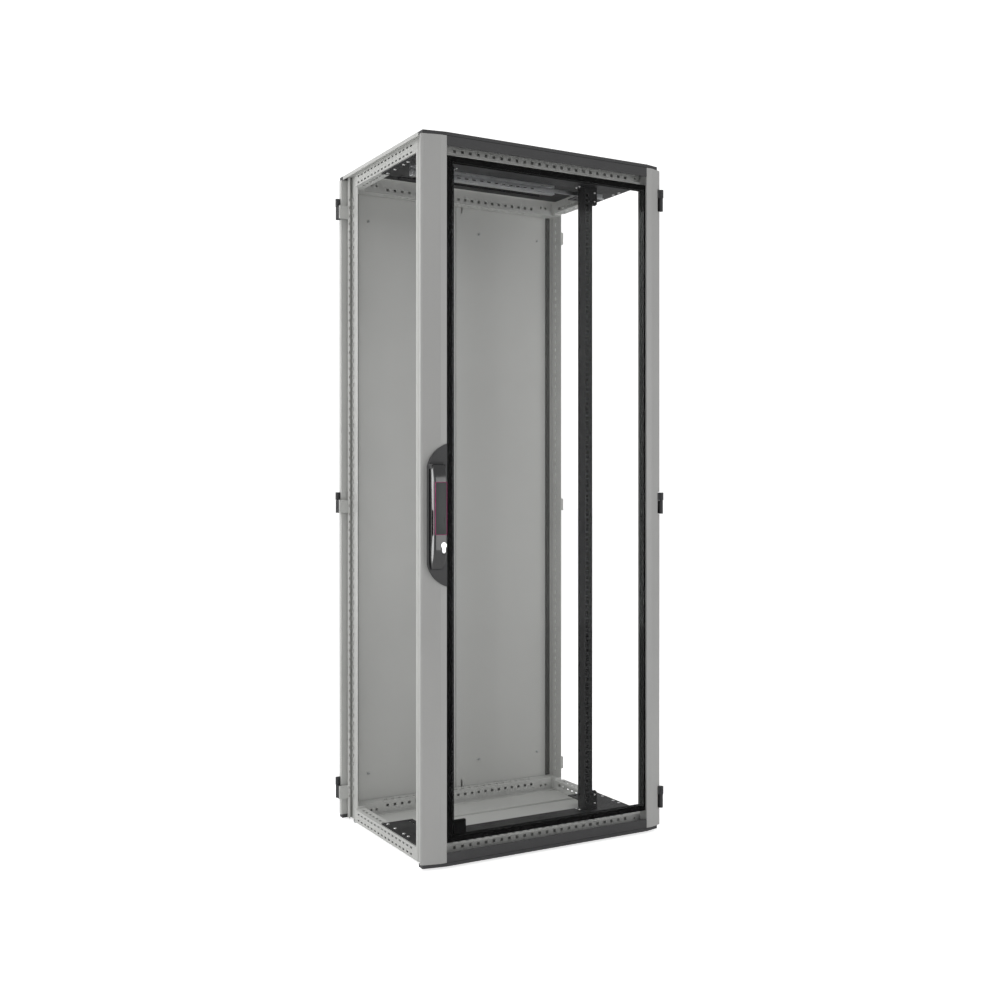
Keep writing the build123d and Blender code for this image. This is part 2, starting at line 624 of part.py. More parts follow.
with BuildPart() as cross_rail:
    with BuildSketch(Plane.YZ.offset(CROSS_X0)):
        Polygon(*CROSS_SECTION, align=None)
    extrude(amount=CROSS_X1 - CROSS_X0)
    rail_run = positions(CROSS_X0 + CROSS_RUN_FIRST, CROSS_X1 - CLIP_L - RUN_INSET, PITCH)
    slots_y(0, rail_run, CROSS_Y + 1, (CROSS_Z0 + CROSS_Z1) / 2, "x", SLOT_H, CROSS_HOLE_H, 2 * SHEET)
    clip_x = CROSS_X1 - CLIP_L
    clip_z = CROSS_Z0 + CLIP_RISE
    bar_y = CROSS_Y + BAR_Y[1]
    box(clip_x, CROSS_X1 - 2, CROSS_Y + CLIP_Y[0], CROSS_Y + CLIP_Y[1], clip_z, CROSS_Z1)
    box(clip_x + CLIP_RISE, BAR_END, CROSS_Y + BAR_Y[0], bar_y, CROSS_Z1 - BAR_DROP[0], CROSS_Z1 - BAR_DROP[1])
    box(BAR_END - BAR_FOOT_L, BAR_END, CROSS_Y + BAR_FOOT_Y, bar_y, CROSS_Z1 - BAR_FOOT_H, CROSS_Z1)
keep(cross_rail, "cross_rail")

# ---------------------------------------------------------------- front door
DOOR_H = DOOR_Z1 - DOOR_Z0
STILE_EDGE_Y = FRONT_Y + BEVEL


def stile(side, x_in, label):
    """Hollow door stile with a bevelled face and a rounded outer corner; notched for hinges on the right."""
    outline = [
        (x_in, FRONT_Y),
        (x_in + side * STILE_FLAT, FRONT_Y),
        (side * (HALF_WIDTH - 6), STILE_EDGE_Y - 1.5),
        (side * (HALF_WIDTH - 2), STILE_EDGE_Y + 1),
        (side * HALF_WIDTH, STILE_EDGE_Y + 3),
        (side * HALF_WIDTH, STILE_EDGE_Y + STILE_EDGE),
        (side * (HALF_WIDTH - STILE_RECESS), STILE_EDGE_Y + STILE_EDGE),
        (side * (HALF_WIDTH - STILE_RECESS), DOOR_BACK_Y),
        (x_in, DOOR_BACK_Y),
    ]
    with BuildPart() as piece:
        with BuildSketch(Plane.XY.offset(DOOR_Z0)):
            sheet_profile(outline, SHEET)
        extrude(amount=DOOR_H)
        if side > 0:
            for z0 in HINGE_Z:
                box(HINGE_NOTCH_X, HINGE_NOTCH_END, FRONT_Y, DOOR_BACK_Y + 1,
                    z0 - 1, z0 + HINGE_LOW_H + HINGE_TOP_H + 1.5, mode=Mode.SUBTRACT)
    keep(piece, label)


stile(-1, STILE_L_IN, "stile_left")
stile(1, STILE_R_IN, "stile_right")


def door_trim(z0, label):
    """Horizontal door cover between the stiles."""
    with BuildPart() as trim:
        box(STILE_L_IN, STILE_R_IN, FRONT_Y, GLASS_Y, z0, z0 + TRIM_H)
        edge = z0 if z0 < HEIGHT / 2 else z0 + TRIM_H - SHEET
        box(STILE_L_IN, STILE_R_IN, GLASS_Y, DOOR_BACK_Y, edge, edge + SHEET)
    keep(trim, label)


door_trim(DOOR_Z1 - TRIM_H, "trim_top")
door_trim(DOOR_Z0, "trim_bottom")

GLASS_Z0 = DOOR_Z0 + SHEET
GLASS_Z1 = DOOR_Z1 - SHEET
with BuildPart() as door_glass:
    box(STILE_L_IN, STILE_R_IN, GLASS_Y, GLASS_Y + GLASS_T, GLASS_Z0, GLASS_Z1)
keep(door_glass, "door_glass")

SEAL_Z0 = DOOR_Z0 + TRIM_H + SEAL_TOP_GAP
SEAL_Z1 = DOOR_Z1 - TRIM_H - SEAL_TOP_GAP
SEAL_Y1 = DOOR_BACK_Y
with BuildPart() as door_seal:
    seal_y0 = GLASS_Y + GLASS_T
    box(STILE_L_IN, STILE_R_IN, seal_y0, SEAL_Y1, SEAL_Z0, SEAL_Z1)
    box(SEAL_L_IN, STILE_R_IN - SEAL_T, seal_y0 - 1, SEAL_Y1 + 1, SEAL_Z0 + SEAL_H, SEAL_Z1 - SEAL_H,
        mode=Mode.SUBTRACT)
keep(door_seal, "door_seal")


def hinge_low(x, y, z):
    """Lower barrel and pin of a hinge, inside the current part."""
    with Locations((x, y, z + HINGE_LOW_H / 2)):
        Cylinder(HINGE_LOW_R, HINGE_LOW_H)
    with Locations((x, y, z + HINGE_LOW_H + HINGE_TOP_H / 2 - 2)):
        Cylinder(HINGE_PIN_R, HINGE_TOP_H - 4)


with BuildPart() as hinge_front_frame:
    for z0 in HINGE_Z:
        hinge_low(HINGE_FRONT_X, HINGE_FRONT_Y, z0)
        box(HINGE_FRONT_X - HINGE_LOW_R, HINGE_FRONT_X - 1, HINGE_FRONT_Y, POST_FRONT_Y + HINGE_TAB_T + 1,
            z0, z0 + HINGE_LOW_H)
        box(FRAME_X, HINGE_FRONT_X - 1, POST_FRONT_Y + 1, POST_FRONT_Y + HINGE_TAB_T + 1,
            z0, z0 + HINGE_LOW_H)
keep(hinge_front_frame, "hinge_front_frame")

with BuildPart() as hinge_front_door:
    for z0 in HINGE_Z:
        z_low = z0 + HINGE_LOW_H + HINGE_GAP
        z_high = z0 + HINGE_LOW_H + HINGE_TOP_H
        with Locations((HINGE_FRONT_X, HINGE_FRONT_Y, (z_low + z_high) / 2)):
            Cylinder(HINGE_R, z_high - z_low)
        box(HINGE_NOTCH_X, HINGE_FRONT_X, HINGE_FRONT_Y - 2, HINGE_FRONT_Y + 10, z_low, z_high)
        with Locations((HINGE_FRONT_X, HINGE_FRONT_Y, z_low + (HINGE_TOP_H - 5) / 2)):
            Cylinder(HINGE_PIN_R + RUNNING, HINGE_TOP_H - 3, mode=Mode.SUBTRACT)
keep(hinge_front_door, "hinge_front_door")

with BuildPart() as hinge_rear_frame:
    for side in (-1, 1):
        for z0 in HINGE_Z:
            hinge_low(side * HINGE_REAR_X, HINGE_REAR_Y, z0)
            box(side * (HINGE_REAR_X - HINGE_TAB_T), side * (HINGE_REAR_X + HINGE_PIN_ROOM), LUG_Y1, HINGE_REAR_Y,
                z0, z0 + HINGE_LOW_H)
keep(hinge_rear_frame, "hinge_rear_frame")


# ---------------------------------------------------------------- handle on the front door
# The escutcheon's back follows the stile's bevel; its face and the lever are square to the door.
SLOPE = (BEVEL - 1.5) / (HALF_WIDTH - 6 + STILE_L_IN - STILE_FLAT)
SWEEP = 62.0
SWEEP_X = ESC_L + (ESC_R - ESC_L) * 0.45
SWEEP_DROP = SWEEP * 0.28
SWEEP_REACH = 60.0
EAR_T = 1.7
EAR_HALF = 7.0
SIDE_PLANE = Plane(origin=(0, LEVER_Y, 0), x_dir=(0, 0, 1), z_dir=(1, 0, 0))
FACE_PLANE = Plane(origin=(0, LEVER_Y, 0), x_dir=(1, 0, 0), z_dir=(0, -1, 0))


def bevel_y(x):
    """Y of the left stile's bevelled face."""
    return FRONT_Y - (x - STILE_L_IN + STILE_FLAT) * SLOPE


with BuildPart() as escutcheon:
    with BuildSketch(Plane.XY.offset(ESC_Z0)):
        Polygon(
            (ESC_L, bevel_y(ESC_L)),
            (STILE_L_IN - STILE_FLAT, FRONT_Y),
            (ESC_R, FRONT_Y),
            (ESC_R, ESC_Y),
            (ESC_L, ESC_Y),
            align=None,
        )
    extrude(amount=ESC_Z1 - ESC_Z0)
    with BuildSketch(Plane.XZ.offset(-FRONT_Y - 20)):
        with BuildLine():
            Line((ESC_L, ESC_Z0 + SWEEP), (ESC_L, ESC_Z1 - SWEEP))
            ThreePointArc((ESC_L, ESC_Z1 - SWEEP), (SWEEP_X, ESC_Z1 - SWEEP_DROP), (ESC_R, ESC_Z1))
            Line((ESC_R, ESC_Z1), (ESC_R, ESC_Z0))
            ThreePointArc((ESC_R, ESC_Z0), (SWEEP_X, ESC_Z0 + SWEEP_DROP), (ESC_L, ESC_Z0 + SWEEP))
        make_face()
    extrude(amount=SWEEP_REACH, mode=Mode.INTERSECT)
    box(LEVER_L - POCKET_GAP, LEVER_R + POCKET_GAP, POCKET_Y, ESC_Y - 1,
        LEVER_Z0 - POCKET_GAP, LEVER_Z1 + POCKET_GAP, mode=Mode.SUBTRACT)
    with BuildSketch(SIDE_PLANE.offset(LEVER_L - POCKET_GAP - 1)):
        with Locations((LEVER_PIVOT_Z, PIVOT_LIFT)):
            Circle(PIVOT_R)
    extrude(amount=LEVER_R - LEVER_L + 2 * POCKET_GAP + 2)
    for ear in (LEVER_L - POCKET_GAP - 1, LEVER_R + POCKET_GAP - EAR_T + 1):
        with BuildSketch(SIDE_PLANE.offset(ear)):
            Polygon(
                (LEVER_PIVOT_Z - EAR_HALF, -1.0),
                (LEVER_PIVOT_Z + EAR_HALF, -1.0),
                (LEVER_PIVOT_Z + EAR_HALF - 2, PIVOT_LIFT + 5),
                (LEVER_PIVOT_Z - EAR_HALF + 2, PIVOT_LIFT + 5),
                align=None,
            )
        extrude(amount=EAR_T)
keep(escutcheon, "escutcheon")

LEVER_PROFILE = (
    (LEVER_Z0, 0.0),
    (LEVER_Z0, 7.0),
    (LEVER_Z0 + 40, LEVER_LIFT),
    (LEVER_Z1 - 50, LEVER_LIFT),
    (LEVER_PIVOT_Z + 2, PIVOT_LIFT + 6.5),
    (LEVER_PIVOT_Z, PIVOT_LIFT),
    (LEVER_PIVOT_Z, 0.0),
)
LEVER_W = LEVER_R - LEVER_L
LEVER_BOSS_R = 6.8
GRIP_Z0 = 905.0
GRIP_Z1 = 975.0
GRIP_H = 8.0
GRIP_D = 5.0
with BuildPart() as lever:
    with BuildSketch(SIDE_PLANE.offset(LEVER_L)):
        Polygon(*LEVER_PROFILE, align=None)
        with Locations((LEVER_PIVOT_Z, PIVOT_LIFT)):
            Circle(LEVER_BOSS_R)
    extrude(amount=LEVER_W)
    with BuildSketch(SIDE_PLANE.offset(LEVER_L - 1)):
        with Locations(((GRIP_Z0 + GRIP_Z1) / 2, LEVER_LIFT * 0.62)):
            SlotOverall(GRIP_Z1 - GRIP_Z0, GRIP_H)
    extrude(amount=GRIP_D + 1, mode=Mode.SUBTRACT)
    with BuildSketch(FACE_PLANE.offset(LEVER_LIFT - CYL_DEPTH)):
        with Locations((KEY_X, KEY_Z)):
            Circle(CYL_R)
        with Locations((KEY_X, KEY_Z - CYL_TAIL / 2)):
            SlotOverall(CYL_TAIL + CYL_TAIL_W, CYL_TAIL_W, rotation=90)
    extrude(amount=CYL_DEPTH + 1, mode=Mode.SUBTRACT)
    with BuildSketch(SIDE_PLANE.offset(LEVER_L - 1)):
        with Locations((LEVER_PIVOT_Z, PIVOT_LIFT)):
            Circle(PIVOT_R + RUNNING)
    extrude(amount=LEVER_W + 2, mode=Mode.SUBTRACT)
keep(lever, "lever")

with BuildPart() as lever_insert:
    with BuildSketch(FACE_PLANE.offset(LEVER_LIFT)):
        with Locations(((LEVER_L + LEVER_R) / 2, (INSERT_Z0 + INSERT_Z1) / 2)):
            RectangleRounded(LEVER_W - 4, INSERT_Z1 - INSERT_Z0, 2.0)
    extrude(amount=INSERT_T)
keep(lever_insert, "lever_insert")

KEYWAY_W = 1.4
KEYWAY_L = 8.0
CYL_PROUD = 0.8
with BuildPart() as cylinder_body:
    with BuildSketch(FACE_PLANE.offset(LEVER_LIFT - CYL_DEPTH)):
        with Locations((KEY_X, KEY_Z)):
            Circle(CYL_R)
        with Locations((KEY_X, KEY_Z - CYL_TAIL / 2)):
            SlotOverall(CYL_TAIL + CYL_TAIL_W, CYL_TAIL_W, rotation=90)
    extrude(amount=CYL_DEPTH + CYL_PROUD)
    with BuildSketch(FACE_PLANE.offset(LEVER_LIFT - CYL_DEPTH + 2)):
        with Locations((KEY_X, KEY_Z)):
            Circle(KEY_R + RUNNING)
    extrude(amount=CYL_DEPTH, mode=Mode.SUBTRACT)
keep(cylinder_body, "cylinder_body")

with BuildPart() as key_plug:
    with BuildSketch(FACE_PLANE.offset(LEVER_LIFT - CYL_DEPTH + 2.5)):
        with Locations((KEY_X, KEY_Z)):
            Circle(KEY_R)
    extrude(amount=CYL_DEPTH - 1.5)
    with BuildSketch(FACE_PLANE.offset(LEVER_LIFT - 4)):
        with Locations((KEY_X, KEY_Z)):
            Rectangle(KEYWAY_W, KEYWAY_L)
    extrude(amount=KEYWAY_L, mode=Mode.SUBTRACT)
keep(key_plug, "key_plug")

# ---------------------------------------------------------------- rods and lock case behind the door
ROD_L = -346.0
ROD_R = -334.0
ROD_Y0 = -264.5
ROD_Y1 = -258.5
CASE_Z0 = 880.0
CASE_Z1 = 1040.0
ROD_TOP = 1943.0
ROD_BOTTOM = 61.0
ROD_FIT = 0.5
ROD_OVERLAP = 40.0
CASE_WALL = 2.5
CASE_Y1 = -254.0
GUIDE_Y1 = -256.0
GUIDE_H = 24.0
GUIDE_Z = (220.0, 560.0, 1440.0, 1780.0)


def rod_sleeve(y1, z0, z1):
    """Block on the back of the stile with the rod's running slot through it, inside the current part."""
    box(ROD_L - CASE_WALL, ROD_R + CASE_WALL, DOOR_BACK_Y, y1, z0, z1)
    box(ROD_L - ROD_FIT, ROD_R + ROD_FIT, ROD_Y0 - ROD_FIT, ROD_Y1 + ROD_FIT, z0 - 1, z1 + 1,
        mode=Mode.SUBTRACT)


with BuildPart() as lock_case:
    rod_sleeve(CASE_Y1, CASE_Z0, CASE_Z1)
keep(lock_case, "lock_case")

with BuildPart() as rod_upper:
    box(ROD_L, ROD_R, ROD_Y0, ROD_Y1, CASE_Z1 - ROD_OVERLAP, ROD_TOP)
keep(rod_upper, "rod_upper")

with BuildPart() as rod_lower:
    box(ROD_L, ROD_R, ROD_Y0, ROD_Y1, ROD_BOTTOM, CASE_Z0 + ROD_OVERLAP)
keep(rod_lower, "rod_lower")

with BuildPart() as rod_guides:
    for guide_z in GUIDE_Z:
        rod_sleeve(GUIDE_Y1, guide_z, guide_z + GUIDE_H)
keep(rod_guides, "rod_guides")

KEEP_L = -350.5
KEEP_R = -329.5
KEEP_WALL = 3.5
KEEP_Y0 = -257.5
KEEP_Y1 = -240.0
KEEP_BACK = 3.0
KEEP_H = 18.0
with BuildPart() as rod_keeps:
    for z0, z1 in ((BOTTOM_FRONT_Z, BOTTOM_FRONT_Z + KEEP_H), (TOP_FRONT_Z - KEEP_H, TOP_FRONT_Z)):
        box(KEEP_L, KEEP_L + KEEP_WALL, KEEP_Y0, KEEP_Y1, z0, z1)
        box(KEEP_R - KEEP_WALL, KEEP_R, KEEP_Y0, KEEP_Y1, z0, z1)
        box(KEEP_L, KEEP_R, KEEP_Y0, KEEP_Y0 + KEEP_BACK, z0, z1)
keep(rod_keeps, "rod_keeps")

BLOCK_L = -303.0
BLOCK_R = -267.0
BLOCK_T = 10.0
BLOCK_Z0 = SEAL_Z0 + SEAL_H + 4
BLOCK_H = 38.0
with BuildPart() as buffer_block:
    box(BLOCK_L, BLOCK_R, GLASS_Y + GLASS_T, GLASS_Y + GLASS_T + BLOCK_T, BLOCK_Z0, BLOCK_Z0 + BLOCK_H)
keep(buffer_block, "buffer_block")

# ---------------------------------------------------------------- rear leaves
LEAF_IN = LEAF_GAP / 2
ROD_SLOT_X = 22.0
ROD_SLOT_W = 5.0
ROD_SLOT_H = 30.0
ROD_SLOT_Z = (59.0, 1948.0)


def rear_leaf(side, label):
    """Double-skinned sheet leaf, hollow for the lock rods, with two rod slots beside the seam."""
    z_mid = (DOOR_Z0 + DOOR_Z1) / 2
    wall = LEAF_SHEET
    with BuildPart() as leaf:
        box(side * LEAF_IN, side * HALF_WIDTH, LEAF_Y, REAR_Y, DOOR_Z0, DOOR_Z1)
        box(side * (LEAF_IN + wall), side * (HALF_WIDTH - wall), LEAF_Y + wall, REAR_Y - wall,
            DOOR_Z0 + wall, DOOR_Z1 - wall, mode=Mode.SUBTRACT)
        slots_y(side * ROD_SLOT_X, ROD_SLOT_Z, LEAF_Y, z_mid, "z", ROD_SLOT_W, ROD_SLOT_H, 3 * wall)
    keep(leaf, label)


rear_leaf(-1, "rear_leaf_left")
rear_leaf(1, "rear_leaf_right")

REAR_SEAL_GAP = 0.3
REAR_SEAL_IN = 344.0
REAR_SEAL_OUT = 363.0
REAR_SEAL_SEAM = 6.0
REAR_SEAL_Z0 = 30.0
REAR_SEAL_Z1 = 1974.0
REAR_SEAL_H = 12.0


def rear_seal(side, label):
    """Foam bead on the leaf's inner face along the top, the hinge side and the bottom."""
    y0 = POST_REAR_END + REAR_SEAL_GAP
    with BuildPart() as seal:
        box(side * REAR_SEAL_SEAM, side * REAR_SEAL_OUT, y0, LEAF_Y, REAR_SEAL_Z0, REAR_SEAL_Z1)
        box(side * (REAR_SEAL_SEAM - 1), side * REAR_SEAL_IN, y0 - 1, LEAF_Y + 1,
            REAR_SEAL_Z0 + REAR_SEAL_H, REAR_SEAL_Z1 - REAR_SEAL_H, mode=Mode.SUBTRACT)
    keep(seal, label)


rear_seal(-1, "rear_seal_left")
rear_seal(1, "rear_seal_right")

STUD_X = (85.0, 310.0)
STUD_Z = (135.0, 1870.0)
STUD_R = 4.0
STUD_L = 8.0


def rear_studs(side, label):
    """Welded studs near the four corners of a leaf."""
    with BuildPart() as studs:
        for stud_x in STUD_X:
            for stud_z in STUD_Z:
                with Locations((side * stud_x, LEAF_Y - STUD_L / 2, stud_z)):
                    Cylinder(STUD_R, STUD_L, rotation=(90, 0, 0))
    keep(studs, label)


rear_studs(-1, "rear_studs_left")
rear_studs(1, "rear_studs_right")


def rear_hinge(side, label):
    """Leaf half of the rear hinges: upper barrel and a tab onto the leaf's edge."""
    x_pin = side * HINGE_REAR_X
    with BuildPart() as hinge:
        for z0 in HINGE_Z:
            z_low = z0 + HINGE_LOW_H + HINGE_GAP
            z_high = z0 + HINGE_LOW_H + HINGE_TOP_H
            with Locations((x_pin, HINGE_REAR_Y, (z_low + z_high) / 2)):
                Cylinder(HINGE_R - 0.6, z_high - z_low)
            box(side * HALF_WIDTH, x_pin, HINGE_REAR_Y - 4, HINGE_REAR_Y + 3, z_low, z_high)
            box(side * (HALF_WIDTH - 20), side * (HALF_WIDTH + 5), REAR_Y, REAR_Y + 3, z_low, z_high)
            with Locations((x_pin, HINGE_REAR_Y, z_low + (HINGE_TOP_H - 5) / 2)):
                Cylinder(HINGE_PIN_R + RUNNING, HINGE_TOP_H - 3, mode=Mode.SUBTRACT)
    keep(hinge, label)


rear_hinge(-1, "hinge_rear_left")
rear_hinge(1, "hinge_rear_right")

# ---------------------------------------------------------------- rear handle and rods on the left leaf
REAR_ESC_X0 = -60.0
REAR_ESC_X1 = -8.0
REAR_ESC_Z0 = 860.0
REAR_ESC_Z1 = 1150.0
REAR_ESC_T = 8.0
REAR_LEVER_X0 = -52.0
REAR_LEVER_X1 = -16.0
REAR_LEVER_Z0 = 880.0
REAR_LEVER_T = 11.0
REAR_PIN_R = 3.0
REAR_BOSS_R = 6.0
REAR_PIVOT_Z = 1112.0
REAR_PIVOT_Y = REAR_Y + 9.0
rear_axle = Plane(origin=(REAR_LEVER_X0, REAR_PIVOT_Y, REAR_PIVOT_Z), x_dir=(0, 1, 0), z_dir=(1, 0, 0))
with BuildPart() as rear_escutcheon:
    box(REAR_ESC_X0, REAR_ESC_X1, REAR_Y, REAR_Y + REAR_ESC_T, REAR_ESC_Z0, REAR_ESC_Z1)
    fillet(rear_escutcheon.edges().filter_by(Axis.Y), 10.0)
    box(REAR_LEVER_X0 - 1, REAR_LEVER_X1 + 1, REAR_Y + 1.5, REAR_Y + REAR_ESC_T + 5,
        REAR_LEVER_Z0 - 2, REAR_PIVOT_Z + 9, mode=Mode.SUBTRACT)
    with BuildSketch(rear_axle.offset(-1)):
        Circle(REAR_PIN_R)
    extrude(amount=REAR_LEVER_X1 - REAR_LEVER_X0 + 2)
keep(rear_escutcheon, "rear_escutcheon")

with BuildPart() as rear_lever:
    box(REAR_LEVER_X0, REAR_LEVER_X1, REAR_Y + 3, REAR_Y + 3 + REAR_LEVER_T, REAR_LEVER_Z0, REAR_PIVOT_Z)
    with BuildSketch(rear_axle):
        Circle(REAR_BOSS_R)
    extrude(amount=REAR_LEVER_X1 - REAR_LEVER_X0)
    with BuildSketch(rear_axle.offset(-1)):
        Circle(REAR_PIN_R + RUNNING)
    extrude(amount=REAR_LEVER_X1 - REAR_LEVER_X0 + 2, mode=Mode.SUBTRACT)
keep(rear_lever, "rear_lever")

# The rear rods run inside the hollow left leaf.
REAR_ROD_X = -14.0
REAR_ROD_T = 4.0
REAR_ROD_Y0 = LEAF_Y + 2.5
REAR_ROD_Y1 = REAR_Y - 2.5
REAR_ROD_LOW = (40.0, 900.0)
REAR_ROD_HIGH = (1110.0, 1965.0)
with BuildPart() as rear_rod_lower:
    box(REAR_ROD_X - REAR_ROD_T / 2, REAR_ROD_X + REAR_ROD_T / 2, REAR_ROD_Y0, REAR_ROD_Y1, *REAR_ROD_LOW)
keep(rear_rod_lower, "rear_rod_lower")

with BuildPart() as rear_rod_upper:
    box(REAR_ROD_X - REAR_ROD_T / 2, REAR_ROD_X + REAR_ROD_T / 2, REAR_ROD_Y0, REAR_ROD_Y1, *REAR_ROD_HIGH)
keep(rear_rod_upper, "rear_rod_upper")
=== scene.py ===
"""Looks for the glazed 19-inch enclosure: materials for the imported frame, detail pieces, light and camera."""

import json
import math
from random import Random

import bmesh
import bpy
from mathutils import Matrix, Vector


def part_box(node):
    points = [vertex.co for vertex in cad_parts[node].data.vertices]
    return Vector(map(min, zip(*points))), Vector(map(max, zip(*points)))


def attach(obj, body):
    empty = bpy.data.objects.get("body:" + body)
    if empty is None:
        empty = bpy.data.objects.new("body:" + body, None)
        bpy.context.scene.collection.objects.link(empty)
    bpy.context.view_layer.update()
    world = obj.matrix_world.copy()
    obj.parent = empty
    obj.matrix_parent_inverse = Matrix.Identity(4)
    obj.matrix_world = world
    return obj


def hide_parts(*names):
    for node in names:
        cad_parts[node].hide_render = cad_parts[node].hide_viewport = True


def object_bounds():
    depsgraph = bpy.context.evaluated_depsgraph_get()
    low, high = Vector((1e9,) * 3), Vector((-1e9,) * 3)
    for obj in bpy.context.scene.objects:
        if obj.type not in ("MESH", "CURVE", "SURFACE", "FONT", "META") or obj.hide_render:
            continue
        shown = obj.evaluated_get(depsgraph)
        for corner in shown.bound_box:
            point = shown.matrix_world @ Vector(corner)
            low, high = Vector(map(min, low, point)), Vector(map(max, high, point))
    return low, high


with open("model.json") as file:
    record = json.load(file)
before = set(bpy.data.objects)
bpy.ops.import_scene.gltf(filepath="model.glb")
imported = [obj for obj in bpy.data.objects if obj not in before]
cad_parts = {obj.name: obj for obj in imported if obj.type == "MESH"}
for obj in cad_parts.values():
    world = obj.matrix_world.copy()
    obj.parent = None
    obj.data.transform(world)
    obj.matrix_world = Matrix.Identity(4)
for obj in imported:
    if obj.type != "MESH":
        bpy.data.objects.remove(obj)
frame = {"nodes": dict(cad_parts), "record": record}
CAD_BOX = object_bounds()
NODES = frame["nodes"]
MM = 0.001

# ---------------------------------------------------------------- camera, metres and degrees
CAMERA_AT = (-1.791, -3.178, 1.0432)
CAMERA_YAW = 29.49
CAMERA_LENS = 42.81
CAMERA_SHIFT_Y = -0.0155


def add_camera():
    """Level camera at the photograph's viewing angle."""
    data = bpy.data.cameras.new("camera")
    data.lens = CAMERA_LENS
    data.sensor_width = 36.0
    data.shift_y = CAMERA_SHIFT_Y
    data.clip_end = 60.0
    camera = bpy.data.objects.new("camera", data)
    camera.location = CAMERA_AT
    camera.rotation_euler = (math.radians(90), 0, -math.radians(CAMERA_YAW))
    bpy.context.scene.collection.objects.link(camera)
    bpy.context.scene.camera = camera


# ---------------------------------------------------------------- materials
BEVEL_SAMPLES = 4


class Graph:
    """Small helper that adds shader nodes and links them."""

    def __init__(self, name):
        self.material = bpy.data.materials.new(name)
        self.material.use_nodes = True
        self.tree = self.material.node_tree
        self.tree.nodes.clear()
        self.output = self.add("ShaderNodeOutputMaterial")
        self.coords = self.add("ShaderNodeTexCoord").outputs["Object"]

    def add(self, kind, **settings):
        node = self.tree.nodes.new(kind)
        for key, value in settings.items():
            if key in node.inputs:
                node.inputs[key].default_value = value
            else:
                setattr(node, key, value)
        return node

    def link(self, source, target):
        self.tree.links.new(source, target)
        return target

    def noise(self, scale, detail=2.0, stretch=None):
        node = self.add("ShaderNodeTexNoise")
        node.inputs["Scale"].default_value = scale
        node.inputs["Detail"].default_value = detail
        source = self.coords
        if stretch:
            mapping = self.add("ShaderNodeMapping")
            mapping.inputs["Scale"].default_value = stretch
            self.link(source, mapping.inputs["Vector"])
            source = mapping.outputs["Vector"]
        self.link(source, node.inputs["Vector"])
        return node.outputs["Fac"]

    def spread(self, source, low, high, from_low=0.3, from_high=0.7):
        """A noise value mapped to a range."""
        node = self.add("ShaderNodeMapRange")
        node.inputs["From Min"].default_value = from_low
        node.inputs["From Max"].default_value = from_high
        node.inputs["To Min"].default_value = low
        node.inputs["To Max"].default_value = high
        self.link(source, node.inputs["Value"])
        return node.outputs["Result"]

    def mix(self, factor, first, second):
        """Mix of two colours; factor and colours are sockets or values."""
        node = self.add("ShaderNodeMix", data_type="RGBA")
        for socket, value in ((node.inputs[0], factor), (node.inputs[6], first), (node.inputs[7], second)):
            if isinstance(value, bpy.types.NodeSocket):
                self.link(value, socket)
            else:
                socket.default_value = value
        return node.outputs[2]

    def edge_mask(self, radius, low=0.02, high=0.2):
        """Bright where a surface turns at a corner."""
        bevel = self.add("ShaderNodeBevel", samples=BEVEL_SAMPLES)
        bevel.inputs["Radius"].default_value = radius
        geometry = self.add("ShaderNodeNewGeometry")
        dot = self.add("ShaderNodeVectorMath", operation="DOT_PRODUCT")
        self.link(bevel.outputs["Normal"], dot.inputs[0])
        self.link(geometry.outputs["Normal"], dot.inputs[1])
        return self.spread(dot.outputs["Value"], 1.0, 0.0, 1.0 - high, 1.0 - low)


def rgba(colour, gain=1.0):
    return (colour[0] * gain, colour[1] * gain, colour[2] * gain, 1.0)


PAINT_CORNER = 0.8 * MM
COAT_ROUGHNESS = 0.08
GRAIN_HEIGHT = 0.4 * MM


def coated(name, colour, rough, grain, grain_depth, vary=0.04, wear=None, wear_amount=0.25,
           coat=0.0, gloss=0.5):
    """Painted or moulded surface: fine grain, slow colour drift, roughness drift and light edge wear."""
    g = Graph(name)
    shader = g.add("ShaderNodeBsdfPrincipled")
    shader.inputs["Specular IOR Level"].default_value = gloss
    if coat:
        shader.inputs["Coat Weight"].default_value = coat
        shader.inputs["Coat Roughness"].default_value = COAT_ROUGHNESS
    drift = g.noise(2.3, 3.0)
    base = g.mix(g.spread(drift, 0.0, 1.0), rgba(colour, 1.0 - vary), rgba(colour, 1.0 + vary))
    speck = g.noise(900.0, 1.0)
    base = g.mix(g.spread(speck, 0.0, 0.12, 0.45, 0.75), base, rgba(colour, 0.75))
    if wear:
        mask = g.edge_mask(PAINT_CORNER)
        patchy = g.noise(60.0, 3.0)
        worn = g.add("ShaderNodeMath", operation="MULTIPLY")
        g.link(mask, worn.inputs[0])
        g.link(g.spread(patchy, 0.1 * wear_amount, wear_amount), worn.inputs[1])
        base = g.mix(worn.outputs[0], base, rgba(wear))
    g.link(base, shader.inputs["Base Color"])
    g.link(g.spread(g.noise(14.0, 4.0), rough - 0.05, rough + 0.06), shader.inputs["Roughness"])
    bump = g.add("ShaderNodeBump")
    bump.inputs["Strength"].default_value = grain_depth
    bump.inputs["Distance"].default_value = GRAIN_HEIGHT
    g.link(g.noise(grain, 2.0), bump.inputs["Height"])
    corner = g.add("ShaderNodeBevel", samples=BEVEL_SAMPLES)
    corner.inputs["Radius"].default_value = PAINT_CORNER
    g.link(corner.outputs["Normal"], bump.inputs["Normal"])
    g.link(bump.outputs["Normal"], shader.inputs["Normal"])
    g.link(shader.outputs["BSDF"], g.output.inputs["Surface"])
    return g.material


PLATE_CORNER = 0.5 * MM
BRUSH_HEIGHT = 0.3 * MM


